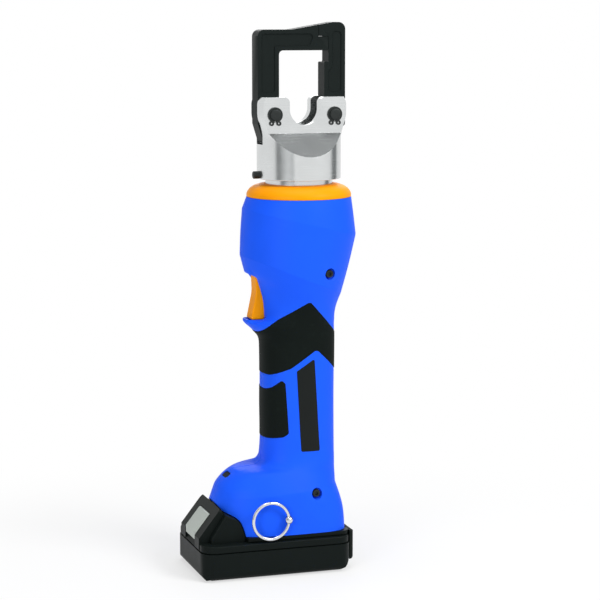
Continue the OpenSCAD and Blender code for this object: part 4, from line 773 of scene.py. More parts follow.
@dataclass
class Overlay:
    """A skin-tight layer on the housing, such as rubber, bounded by an outline of the side view."""

    corners: Sequence[Sequence[float]]
    proud: float
    sink: float
    edge: float
    pitch: float = 0.75

    def loop(self, skin: Skin) -> np.ndarray:
        """The outline on the unrolled skin."""
        spots = skin.to_domain(dense_loop(Stock.rounded(self.corners), 0.7))
        kept = [spots[0]]
        for spot in spots[1:]:
            if np.linalg.norm(spot - kept[-1]) > 0.12:
                kept.append(spot)
        if np.linalg.norm(kept[-1] - kept[0]) < 0.12:
            kept.pop()
        return dense_loop(kept, 0.9)

    def blank(self, name: str, skin: Skin, side: int) -> Blank:
        """Builds the layer.

        Args:
            name: Name of the piece.
            skin: The skin that it lies on.
            side: -1 for the left half and 1 for the right half.

        Returns:
            The workpiece.
        """
        loop = self.loop(skin)
        girth = np.interp(loop[:, 1], skin.path, skin.round[:, -1])
        seam = (loop[:, 0] < 0.02) | (loop[:, 0] > girth - 0.02)
        low, high = loop.min(0), loop.max(0)
        across, along = np.meshgrid(np.arange(low[0], high[0], self.pitch), np.arange(low[1], high[1], self.pitch))
        across[1::2] += self.pitch / 2
        spots = np.stack([across.ravel(), along.ravel()], 1)
        spots = spots[inside(loop, spots)]
        spots = spots[distance_to(loop, spots) > self.edge + 0.3]
        inner = []
        for share in (0.35, 0.75, 1.15):
            ring = np.array(Stock.grown(loop, -self.edge * share))
            inner.append(ring[inside(loop, ring) & (distance_to(loop, ring) > self.edge * share * 0.8)])
        every = np.concatenate([loop, *inner, spots])
        edges = [(i, (i + 1) % len(loop)) for i in range(len(loop))]
        made = geometry.delaunay_2d_cdt([Vector(p) for p in every], edges, [], 1, 1e-5)
        flat = np.array([tuple(v) for v in made[0]])
        faces = [list(f) for f in made[2]]
        runs = [loop[[i, (i + 1) % len(loop)]] for i in range(len(loop))
                if not (seam[i] and seam[(i + 1) % len(loop)])]
        depth = np.full(len(flat), 1e9)
        for run in runs:
            depth = np.minimum(depth, distance_to(run, flat, closed=False))
        share = np.clip(1 - depth / self.edge, 0, 1)
        top = skin.on_skin(flat, self.proud - (self.proud + 0.12) * (1 - np.sqrt(1 - np.minimum(share, 0.999) ** 2)))
        base = skin.on_skin(flat, np.full(len(flat), -self.sink))
        n = len(flat)
        borders: dict[tuple[int, int], int] = {}
        for face in faces:
            for a, b in zip(face, face[1:] + face[:1]):
                key = (min(a, b), max(a, b))
                borders[key] = borders.get(key, 0) + 1
        rim = [[a, b, n + b, n + a] for (a, b), uses in borders.items() if uses == 1]
        points = np.concatenate([top, base])
        points[:, 1] = np.maximum(points[:, 1], 0.0) * side
        return Blank(name, points, faces + [[n + i for i in f[::-1]] for f in faces] + rim)


@dataclass
class Housing:
    """Two moulded shells with their rubber, ring, light, screws and bare plate."""

    GRIP_FRONT, GRIP_DEPTH, GRIP_LOW, GRIP_RISE = -28.4, 53.6, 84, 76
    recess_r: float = 4.2
    boss_r: float = 5.6
    head_r: float = 2.9
    head_h: float = 2.2
    high_screw: tuple = (12.6, 29.5, 216.0)
    low_screw: tuple = (3.8, 27.0, 57.1)
    slot_half: float = 6.8
    groove: float = 0.28
    light: tuple = (-55.476, 69.49, 32.66)

    def on_handle(self, shares: Sequence[Sequence[float]]) -> list[tuple[float, float, float]]:
        """Corners given as shares of the grip, in millimetres."""
        depth = self.GRIP_DEPTH
        return [(self.GRIP_FRONT + depth * x, self.GRIP_LOW + self.GRIP_RISE * z, depth * r) for x, z, r in shares]

    def build(self) -> None:
        """Makes every piece of the housing."""
        self.skin = Skin()
        self.band = Overlay(self.on_handle([
            (-0.4, 0.765, 0), (0.05, 0.765, 0.06), (0.29, 0.83, 0.1), (0.65, 1.003, 0.06), (1, 0.776, 0),
            (1.4, 0.776, 0), (1.4, 1.13, 0), (1.0, 1.13, 0), (0.52, 1.475, 0.05), (0.01, 1.249, 0), (-0.1, 1.165, 0),
            (-0.4, 1.165, 0)]), 0.3, 1.2, 0.6)
        self.pad = Overlay(self.on_handle([
            (-0.4, 0.145, 0), (0, 0.15, 0), (0.2, 0.175, 0.07), (0.268, 0.21, 0.05), (0.225, 0.69, 0.03),
            (0.18, 0.722, 0.03), (0.07, 0.65, 0.1), (0, 0.62, 0), (-0.4, 0.62, 0)]), 0.3, 1.2, 0.6)
        self.plate = Overlay([(-8.6, 145.3, 1.2), (4.8, 154, 1.2), (9, 86.4, 1.2), (-5.4, 86.6, 1.2)], 0.22, 0.6, 0.25)
        loops = [self.band.loop(self.skin), self.pad.loop(self.skin)]
        for side, word in ((-1, "left"), (1, "right")):
            self.shell(side, loops).fit(Finishes.BLUE, "housing", [word + "_shell"], 30)
            self.band.blank(word + "_grip_rubber", self.skin, side).fit(
                Finishes.RUBBER, "housing", [word + "_grip_band"], 50)
            self.pad.blank(word + "_finger_pad", self.skin, side).fit(
                Finishes.RUBBER, "housing", [word + "_grip_pad"], 50)
        self.plate.blank("rating_plate_bare", self.skin, -1).fit(Finishes.PLATE, "housing", [], 50)
        self.nose_ring()
        self.work_light()
        self.screws()

    def shell(self, side: int, loops: Sequence[np.ndarray]) -> Blank:
        """One shell: the skin, its inner wall and its cuts.

        Args:
            side: -1 for the left shell and 1 for the right shell.
            loops: Outlines of the rubber, which get a fine groove round them.

        Returns:
            The workpiece.
        """
        skin = self.skin
        spots = skin.domain.reshape(-1, 2)
        sunk = np.zeros(len(spots))
        for loop in loops:
            near = (np.abs(spots - (loop.min(0) + loop.max(0)) / 2) < (loop.max(0) - loop.min(0)) / 2 + 3).all(1)
            gap = distance_to(loop, spots[near])
            sunk[near] = np.maximum(sunk[near], self.groove * np.exp(-(gap / 0.55) ** 2))
        y = skin.grid[:, :, 1].ravel()
        sunk = np.maximum(sunk, 0.22 * np.exp(-(y / 0.4) ** 2))
        outer = skin.grid.reshape(-1, 3) - skin.normal.reshape(-1, 3) * sunk[:, None] * [1, 0.0, 1]
        outer[:, 1] = skin.grid.reshape(-1, 3)[:, 1]
        rows, count = skin.grid.shape[0], skin.columns + 1
        cavity = skin.STATIONS.copy()
        cavity[:, 2] = cavity[:, 5]
        cavity[:, 3:5] -= skin.WALL
        inner_columns = 36
        inner, _ = skin.sections(cavity, inner_columns)
        inner[:, 0, 1] = inner[:, -1, 1] = 0
        start, width = len(outer), inner_columns + 1
        points = np.concatenate([outer, inner.reshape(-1, 3)])
        points[:, 1] *= side
        faces = self._quads(rows, count, 0) + self._quads(len(inner), width, start)
        shares = [np.linspace(0, 1, count), np.linspace(0, 1, width)]
        for row_a, row_b in ((0, 0), (rows - 1, len(inner) - 1)):
            faces += self._zip([row_a * count + k for k in range(count)], shares[0],
                               [start + row_b * width + k for k in range(width)], shares[1])
        for column_a, column_b in ((0, 0), (count - 1, width - 1)):
            faces += self._zip([k * count + column_a for k in range(rows)], skin.marks,
                               [start + k * width + column_b for k in range(len(inner))], np.arange(len(inner)))
        blank = Blank("left_housing_shell" if side < 0 else "right_housing_shell", points, faces)
        return self._worked(blank, side)

    @staticmethod
    def _quads(rows: int, count: int, start: int) -> list[list[int]]:
        """Faces of a grid of points."""
        return [[start + j * count + i, start + j * count + i + 1, start + (j + 1) * count + i + 1,
                 start + (j + 1) * count + i] for j in range(rows - 1) for i in range(count - 1)]

    @staticmethod
    def _zip(first: Sequence[int], first_at: np.ndarray, second: Sequence[int],
             second_at: np.ndarray) -> list[list[int]]:
        """Triangles between two rows of points that run side by side."""
        i = j = 0
        faces = []
        while i < len(first) - 1 or j < len(second) - 1:
            if j == len(second) - 1 or (i < len(first) - 1 and first_at[i + 1] <= second_at[j + 1]):
                faces.append([first[i], first[i + 1], second[j]])
                i += 1
            else:
                faces.append([first[i], second[j + 1], second[j]])
                j += 1
        return faces

    def _worked(self, blank: Blank, side: int) -> Blank:
        """The shell with its screw bosses, recesses, trigger slot and nose opening."""
        screws = [self.high_screw] + ([self.low_screw] if side < 0 else [])
        for x, y, z in screws:
            boss = Stock.rod("boss", (x, side * (y - 5), z), (x, side * (y + 20), z), self.boss_r)
            blank.add(boss.keep(self._solid(side)))
        for x, y, z in screws:
            blank.cut(Stock.rod("recess", (x, side * y, z), (x, side * (y + 20), z), self.recess_r))
        h = self.slot_half
        boxes = (("slot", -83, 182.2, 212.4), ("toe", -39.4, 179.7, 212.4), ("top", -36.5, 211, 216.5))
        for name, x, low, high in boxes:
            blank.cut(Stock.box(name, (x, -h, low), (-20, h, high)))
        blank.cut(Stock.prism("nose", [*Battery.NOSE, (-95, 58.1), (-95, 20), (-48.4, 20)], -50, 50, Axis.Y))
        blank.cut(self._light_form("light_room", 0.15, -4.2, 6))
        if side < 0:
            x, z = Lanyard.stud_x, Lanyard.z
            blank.cut(Stock.rod("stud_room", (x, -20, z), (x, -45, z), 2.1, segments=48))
        return blank

    def _solid(self, side: int) -> Blank:
        """Everything inside the skin of one half, as a tool that trims bosses."""
        rows, count = self.skin.grid.shape[:2]
        last = (rows - 1) * count
        faces = self._quads(rows, count, 0) + [list(range(count)), list(range(last, last + count))]
        faces += [[k, k + count, k + 2 * count - 1, k + count - 1] for k in range(0, last, count)]
        return Blank("solid", self.skin.grid.reshape(-1, 3) * (1, side, 1), faces)

    def _light_form(self, name: str, grow: float, low: float, high: float) -> Blank:
        """The long round form of the work light, tilted into the foot's slope."""
        half, end = 2.5 + grow, 3.5
        outline = Stock.arc((0, end), half, 0, 180, 25) + Stock.arc((0, -end), half, 180, 360, 25)
        blank = Stock.prism(name, outline, low, high, Axis.Z)
        x, z, tilt = self.light
        blank.obj.data.transform(Matrix.Translation((x, 0, z)) @ Matrix.Rotation(-math.radians(tilt), 4, "Y"))
        return blank

    def nose_ring(self) -> None:
        """The yellow ring that crowns the shells."""
        crown = [(37.15, 268.9), (37.45, 269.15), (37.5, 270.2), (37.47, 270.9), (37.25, 271.75), (36.9, 272.45),
                 (36.4, 273.2), (35.8, 273.95), (35.05, 274.75), (34.2, 275.45), (33.15, 276.12), (32, 276.7),
                 (30.6, 277.22), (29, 277.66), (27.2, 278), (25.2, 278.2), (24.5, 278.15), (24.3, 277.9)]
        profile = crown + [(24.3, 263.8), (32.1, 263.8), (34.8, 263.8), (34.8, 268.9)]
        Stock.lathe("nose_ring_crown", profile, segments=192).fit(Finishes.YELLOW, "housing", ["nose_ring"], 45)

    def work_light(self) -> None:
        """The lens of the work light, with a softened rim."""
        self._light_form("work_light_lens", 0, -4, -1).ease(0.5, 3, 60).fit(
            Finishes.LENS, "housing", ["work_light"], 40)

    def screws(self) -> None:
        """The shell screws, set by Geometry Nodes on their seats."""
        seats = [(self.high_screw, -1), (self.high_screw, 1), (self.low_screw, -1)]
        spots = [((x, side * y, z), (0, side, 0)) for (x, y, z), side in seats]
        ScrewTree(self.head_r, self.head_h, self.head_r * 0.55).place("shell_screw_heads", spots).fit(
            Finishes.OXIDE, "housing", ["shell_screws"], 40)


class NodeTree:
    """Builds one Geometry Nodes tree with named inputs."""

    def __init__(self, name: str, sizes: dict[str, float]) -> None:
        """Starts the tree.

        Args:
            name: Its name.
            sizes: Named inputs and their values.
        """
        self.tree = bpy.data.node_groups.new(name, "GeometryNodeTree")
        face = self.tree.interface
        face.new_socket("Geometry", in_out="INPUT", socket_type="NodeSocketGeometry")
        face.new_socket("Geometry", in_out="OUTPUT", socket_type="NodeSocketGeometry")
        face.new_socket("Finish", in_out="INPUT", socket_type="NodeSocketMaterial")
        for key in sizes:
            face.new_socket(key, in_out="INPUT", socket_type="NodeSocketFloat")
        self.sizes = sizes
        self.start = self.tree.nodes.new("NodeGroupInput")
        self.end = self.tree.nodes.new("NodeGroupOutput")

    def add(self, kind: str, settings: Optional[dict] = None, inputs: Optional[dict] = None) -> bpy.types.Node:
        """Adds a node.

        Args:
            kind: The node's type.
            settings: Its properties.
            inputs: Values or sockets for its inputs, by name or number.

        Returns:
            The node.
        """
        node = self.tree.nodes.new(kind)
        for key, value in (settings or {}).items():
            setattr(node, key, value)
        for key, value in (inputs or {}).items():
            if isinstance(value, bpy.types.NodeSocket):
                self.tree.links.new(value, node.inputs[key])
            else:
                node.inputs[key].default_value = value
        return node

    def size(self, name: str) -> bpy.types.NodeSocket:
        """The named input's socket."""
        return self.start.outputs[name]

    def scaled(self, name: str, share: float) -> bpy.types.NodeSocket:
        """A share of a named input."""
        return self.add("ShaderNodeMath", {"operation": "MULTIPLY"}, {0: self.size(name), 1: share}).outputs[0]

    def tube(self, path: bpy.types.Node, sides: int, caps: bool) -> None:
        """Ends the tree in a round wire carried along a path.

        Args:
            path: The node that gives the path.
            sides: Steps round the wire.
            caps: Whether its ends are closed.
        """
        wire = self.add("GeometryNodeCurvePrimitiveCircle", None, {
            "Resolution": sides, "Radius": self.size("Wire Radius")})
        wound = self.add("GeometryNodeCurveToMesh", None, {
            "Curve": path.outputs[0], "Profile Curve": wire.outputs[0], "Fill Caps": caps})
        self.close(self.add("GeometryNodeSetShadeSmooth", None, {"Geometry": wound.outputs[0]}).outputs[0])

    def close(self, made: bpy.types.NodeSocket) -> None:
        """Ends the tree in Realize Instances and Set Material."""
        real = self.add("GeometryNodeRealizeInstances", None, {"Geometry": made})
        dressed = self.add("GeometryNodeSetMaterial", None, {
            "Geometry": real.outputs[0], "Material": self.start.outputs["Finish"]})
        self.tree.links.new(dressed.outputs[0], self.end.inputs[0])

    def run(self, blank: Blank, finish: Finish) -> Blank:
        """Runs the tree on a workpiece.

        Args:
            blank: The workpiece whose mesh the tree reads.
            finish: What the result is dressed in.

        Returns:
            The same workpiece with the tree's result as its mesh.
        """
        modifier = blank.obj.modifiers.new("nodes", "NODES")
        modifier.node_group = self.tree
        for item in self.tree.interface.items_tree:
            if item.in_out != "INPUT":
                continue
            if item.name == "Finish":
                modifier[item.identifier] = finish.material()
            elif item.name in self.sizes:
                modifier[item.identifier] = self.sizes[item.name]
        return blank.settle()


class ScrewTree(NodeTree):
    """Socket screws on points: a chamfered head with a hexagon socket."""

    def __init__(self, head_r: float, head_h: float, socket_r: float) -> None:
        """Builds the tree for one size of screw."""
        super().__init__("socket_screws", {"Head Radius": head_r, "Head Height": head_h, "Socket Radius": socket_r})
        body = self.add("GeometryNodeMeshCylinder", None, {
            "Vertices": 48, "Radius": self.size("Head Radius"), "Depth": self.size("Head Height")})
        cap = self.add("GeometryNodeMeshCone", None, {
            "Vertices": 48, "Radius Top": self.scaled("Head Radius", 0.88), "Radius Bottom": self.size("Head Radius"),
            "Depth": self.scaled("Head Height", 0.2)})
        stem = self.add("GeometryNodeMeshCylinder", None, {
            "Vertices": 32, "Radius": self.scaled("Head Radius", 0.52), "Depth": self.size("Head Height")})
        hexagon = self.add("GeometryNodeMeshCylinder", None, {
            "Vertices": 6, "Radius": self.size("Socket Radius"), "Depth": self.size("Head Height")})
        whole = self.add("GeometryNodeMeshBoolean", {"operation": "UNION", "solver": "EXACT"})
        half = head_h / 2
        for part, lift in ((body, 0.0), (cap, half), (stem, -head_h * 0.9)):
            moved = self.add("GeometryNodeTransform", None, {"Geometry": part.outputs[0], "Translation": (0, 0, lift)})
            self.tree.links.new(moved.outputs[0], whole.inputs["Mesh 2"])
        key = self.add("GeometryNodeTransform", None, {
            "Geometry": hexagon.outputs[0], "Translation": (0, 0, half * 1.3)})
        cut = self.add("GeometryNodeMeshBoolean", {"operation": "DIFFERENCE", "solver": "EXACT"}, {
            "Mesh 1": whole.outputs[0], "Mesh 2": key.outputs[0]})
        normal = self.add("GeometryNodeInputNamedAttribute", {"data_type": "FLOAT_VECTOR"}, {"Name": "facing"})
        turn = self.add("FunctionNodeAlignRotationToVector", {"axis": "Z"}, {"Vector": normal.outputs[0]})
        placed = self.add("GeometryNodeInstanceOnPoints", None, {
            "Points": self.start.outputs[0], "Instance": cut.outputs[0], "Rotation": turn.outputs[0]})
        self.close(placed.outputs[0])

    def place(self, name: str, spots: Sequence[tuple], finish: Finish = Finishes.OXIDE) -> Blank:
        """Sets a screw at each spot.

        Args:
            name: Name of the piece.
            spots: Seat and facing direction of each screw.
            finish: What the screws are dressed in.

        Returns:
            The screws as one workpiece.
        """
        blank = Blank(name, [Vector(p) + Vector(d) * (self.sizes["Head Height"] / 2) for p, d in spots], [])
        facing = blank.obj.data.attributes.new("facing", "FLOAT_VECTOR", "POINT")
        for item, (_, direction) in zip(facing.data, spots):
            item.vector = direction
        return self.run(blank, finish)


class RingTree(NodeTree):
    """A wire ring: a round profile carried round a circle."""

    def __init__(self, radius: float, wire_r: float) -> None:
        """Builds the tree for one ring."""
        super().__init__("wire_ring", {"Ring Radius": radius, "Wire Radius": wire_r})
        path = self.add("GeometryNodeCurvePrimitiveCircle", None, {
            "Resolution": 160, "Radius": self.size("Ring Radius")})
        self.tube(path, 24, False)


class SpringTree(NodeTree):
    """A coil spring: a round wire carried up a spiral."""

    def __init__(self, radius: float, wire_r: float, height: float, turns: float) -> None:
        """Builds the tree for one coil."""
        super().__init__("coil_spring", {"Coil Radius": radius, "Wire Radius": wire_r, "Rise": height, "Turns": turns})
        path = self.add("GeometryNodeCurveSpiral", None, {
            "Resolution": 48, "Rotations": self.size("Turns"), "Start Radius": self.size("Coil Radius"),
            "End Radius": self.size("Coil Radius"), "Height": self.size("Rise")})
        self.tube(path, 16, True)


class ClipTree(NodeTree):
    """Retaining rings: one ring's mesh set on every groove point."""

    def __init__(self, pattern: bpy.types.Object) -> None:
        """Builds the tree round one ring's mesh."""
        super().__init__("retaining_rings", {})
        one = self.add("GeometryNodeObjectInfo", {"transform_space": "ORIGINAL"}, {"Object": pattern})
        placed = self.add("GeometryNodeInstanceOnPoints", None, {
            "Points": self.start.outputs[0], "Instance": one.outputs["Geometry"]})
        self.close(placed.outputs[0])


# ---------------------------------------------------------------- trigger


@dataclass
class Trigger:
    """The trigger blade, hollowed for a finger."""

    half: float = 6.45
    edge: float = 1.1

    def build(self) -> None:
        """Makes the trigger."""
        outline = Stock.rounded([
            (-34.4, 214.4, 1.2), (-33.8, 200.7, 26), (-37.8, 181.6, 1.2), (-29, 181.6, 0), (-25.6, 184, 1.2),
            (-25.6, 214.4, 1.2)], 4)
        blank = Stock.prism("trigger_blade", outline, -self.half, self.half, Axis.Y).ease(self.edge, 4, 50)
        blank.fit(Finishes.YELLOW, "trigger", ["trigger"], 40)


# ---------------------------------------------------------------- head


@dataclass
class Head:
    """Turned head with its milled fork, neck, swivel screw and ram."""

    pin_x: float = 22.1
    pin_z: float = 327.7
    eye_r: float = 4.05
    fork_half: float = 14.5
    flare_r: float = 33.8
    shoulder_z: float = 314.5
    throat_r: float = 11.2
    throat_z: float = 331.5
    knob_z: float = 284.7

    def build(self) -> None:
        """Makes the head's pieces."""
        self.fork()
        self.neck()
        self.ram()
        knob = [(0, -1.0), (2.7, -1.0), (2.7, 3.7), (2.55, 4.0), (2.2, 4.2), (0.9, 4.2), (0.9, 3.5), (0, 3.5)]
        Stock.lathe("swivel_screw_knob", knob, (-30, 0, self.knob_z), (-1, 0, 0), 64).fit(
            Finishes.OXIDE, "head", ["swivel_screw"], 35)

    def fork(self) -> None:
        """The fork, turned and then milled."""
        profile = [(0, 281.8), (29.3, 281.8), (29.8, 282.0), (30, 282.5), (30, 310.5), (30.25, 313), (30.9, 316),
                   (32.0, 320), (33.0, 323.4), (33.6, 326), (33.8, 328.5), (33.8, 335), (33.5, 336.9), (31.8, 340),
                   (0, 340)]
        blank = Stock.lathe("head_fork_milled", profile, segments=160)
        blank.cut(Stock.rod("socket", (0, 0, 270), (0, 0, 296.2), 24.05, segments=160))
        blank.cut(Stock.rod("rod_bore", (0, 0, 290), (0, 0, 345), 11.05, segments=128))
        f, r, t, middle = self.fork_half, self.flare_r, self.throat_r, self.throat_z
        low = self.shoulder_z - (r - f) * 1.03
        for side in (-1, 1):
            flat = [(side * f, 345), (side * f, self.shoulder_z), (side * r, low), (side * 70, low), (side * 70, 345)]
            blank.cut(Stock.prism("flat", flat, -80, 80, Axis.X))
        blank.cut(Stock.rod("throat", (0, -40, middle), (0, 40, middle), t, segments=160))
        lip = [(t, middle), (t, 336.8), (12.1, 338.6), (14.4, 340.1), (14.4, 350)]
        mouth = [(-t, middle), *lip, *((-x, z) for x, z in lip[:0:-1])]
        blank.cut(Stock.prism("mouth", mouth, -40, 40, Axis.Y))
        blank.cut(Stock.box("slot", (-80, -7.2, 306.5), (80, 7.2, 350)))
        for x in (-self.pin_x, self.pin_x):
            blank.cut(Stock.rod("eye", (x, -40, self.pin_z), (x, 40, self.pin_z), self.eye_r))
        blank.cut(Stock.rod("knob_room", (-50, 0, self.knob_z), (-26, 0, self.knob_z), 2.85, segments=64))
        blank.ease(0.32, 2, 24).fit(Finishes.MACHINED, "head", ["head_fork"], 26)

    def neck(self) -> None:
        """The neck that the head turns on."""
        profile = [(2, 228), (21.8, 228), (22, 228.2), (22, 263.3), (23.7, 263.3), (24, 263.6), (24, 282.5),
                   (22.2, 282.5), (22.2, 286.9), (24, 286.9), (24, 290.7), (21.9, 290.7), (21.9, 292.7), (24, 292.7),
                   (24, 295.6), (23.7, 295.9), (16.05, 295.9), (16.05, 232), (2, 232)]
        Stock.lathe("neck_cylinder", profile, segments=160).fit(Finishes.MACHINED, "housing", ["neck"], 30)

    def ram(self) -> None:
        """The ram, with its end bevelled and bored for a die."""
        profile = [(0, 232.5), (15.7, 232.5), (16, 232.8), (16, 235.5), (14, 235.5), (14, 238.5), (16, 238.5),
                   (16, 244.2), (15.7, 244.5), (11, 244.5), (11, 318.1), (10.75, 318.6), (10.2, 318.9), (4.4, 318.9),
                   (4, 318.5), (4, 308.9), (0, 308.9)]
        Stock.lathe("ram_rod", profile, segments=128).fit(Finishes.MACHINED, "ram", ["ram"], 30)


@dataclass
class CrimpFrame:
    """Yoke and latch arm that close over the work, with their pins and retaining rings."""

    half: float = 7.0
    out_x: float = 32.5
    in_x: float = 16.8
    pin_x: float = 22.1
    pin_z: float = 327.7
    window_z: float = 372.5
    bar_z: float = 387.1
    latch_z: float = 392.3
    hook_x: float = 12.4
    tongue_x: float = 19.6
    hook_z: float = 382.2
    arm_z: float = 318.2
    panel_z: float = 343.4
    rim: float = 3.4
    eye_r: float = 4.05
    gap: float = 0.3
    edge: float = 0.85
    panel_depth: float = 0.8

    def crown_z(self, x: float) -> float:
        """Height of the sloping crown over a place on the bar."""
        return self.bar_z + (x + 7.2) * 5.2 / 30.8

    def build(self) -> None:
        """Makes the frame's pieces."""
        o, i, w, h, g, m = self.out_x, self.in_x, self.window_z, self.hook_x, self.gap, self.rim
        t, bar, hook, top, low, sunk = self.tongue_x, self.bar_z, self.hook_z, self.latch_z, self.arm_z, self.panel_z
        yoke = [(-o, bar, 5), (-o, 321.1, 2), (-28.5, 308.1, 1.3), (-23.5, 308.1, 1.3), (-i, low, 3), (-i, w, 3),
                (t, w, 0.9), (t, hook, 0.5), (h, hook, 0.4), (h, self.crown_z(h), 0.4), (-7.2, bar, 6)]
        panel = [(m - o, bar - m, 2), (m - o, sunk, 2), (-i - m, sunk, 2), (-i - m, w + m, 1), (h - 2 * m, w + m, 2),
                 (h - m, bar - m, 2)]
        latch = [(i, low, 3), (o, low, 3), (o, top, 5), (23.6, top, 6), (h + g, self.crown_z(h + g), 0.4),
                 (h + g, hook + g, 0.4), (t + g, hook + g, 0.5), (t + g, w - 8.2, 0.9), (i, w - 8.2, 0.9)]
        latch_panel = [(i + m, sunk, 2), (o - m, sunk, 2), (o - m, top - 2 * m, 2), (t + g + m, top - 2 * m, 2),
                       (t + g + m, w - 11.6, 2), (i + m, w - 15, 2)]
        self.arm("yoke_forging", yoke, panel, -self.pin_x).fit(Finishes.PAINT, "yoke", ["yoke"], 40)
        self.arm("latch_forging", latch, latch_panel, self.pin_x).fit(Finishes.PAINT, "latch", ["latch_arm"], 40)
        for side, word in ((-1, "yoke"), (1, "latch")):
            self.pin(word + "_hinge_pin", side * self.pin_x).fit(Finishes.OXIDE, "head", [word + "_pin"], 35)
        self.rings()

    def arm(self, name: str, outline: Sequence[Sequence[float]], panel: Sequence[Sequence[float]],
            eye_x: float) -> Blank:
        """One forged arm.

        Args:
            name: Name of the piece.
            outline: Its outline with corner radii.
            panel: Outline of the sunk panel on both faces.
            eye_x: Where its pin passes.

        Returns:
            The workpiece.
        """
        blank = Stock.prism(name, Stock.rounded(outline), -self.half, self.half, Axis.Y)
        blank.add(Stock.rod("eye", (eye_x, -self.half, self.pin_z), (eye_x, self.half, self.pin_z), 8.2))
        blank.ease(self.edge, 3, 50)
        for side in (-1, 1):
            face, floor = side * (self.half + 1), side * (self.half - self.panel_depth)
            blank.cut(Stock.prism("panel", Stock.rounded(panel), floor, face, Axis.Y, draft=1.3))
        blank.cut(Stock.rod("hole", (eye_x, -20, self.pin_z), (eye_x, 20, self.pin_z), self.eye_r))
        return blank

    def pin(self, name: str, x: float) -> Blank:
        """One hinge pin with its ring grooves and centre marks."""
        near, far = -14.5, -15.6
        side = [(0, -16.2), (0.9, -16.7), (3.3, -16.7), (3.8, -16.5), (4, -16.1), (4, far), (3.6, far), (3.6, near),
                (4, near)]
        profile = side + [(r, -y) for r, y in side[::-1]]
        return Stock.lathe(name, profile, (x, 0, self.pin_z), (0, 1, 0), 96)

    def rings(self) -> None:
        """The four retaining rings, made once and set by Geometry Nodes."""
        ring = Stock.lathe("ring_pattern", [(3.65, 0), (5.4, 0), (5.4, 0.9), (3.65, 0.9)], (0, 0, 0), (0, 1, 0), 96)
        holes = []
        for angle in (-24, 24):
            a = math.radians(angle - 90)
            x, z = 6.5 * math.cos(a), 6.5 * math.sin(a)
            ring.add(Stock.rod("lug", (x, 0, z), (x, 0.9, z), 1.7, segments=48))
            holes.append((x, z))
        for x, z in holes:
            ring.cut(Stock.rod("lug_hole", (x, -2, z), (x, 3, z), 0.7, segments=32))
        ring.cut(Stock.box("gap", (-0.4, -2, -12), (0.4, 3, -3)))
        ring.ease(0.14, 2, 40)
        spots = [(x, y, self.pin_z) for x in (-self.pin_x, self.pin_x) for y in (-15.55, 14.65)]
        blank = ClipTree(ring.obj).run(Blank("retaining_clips", spots, []), Finishes.OXIDE)
        bpy.data.objects.remove(ring.obj)
        blank.fit(Finishes.OXIDE, "head", ["retaining_rings"], 35)


# ---------------------------------------------------------------- foot and battery


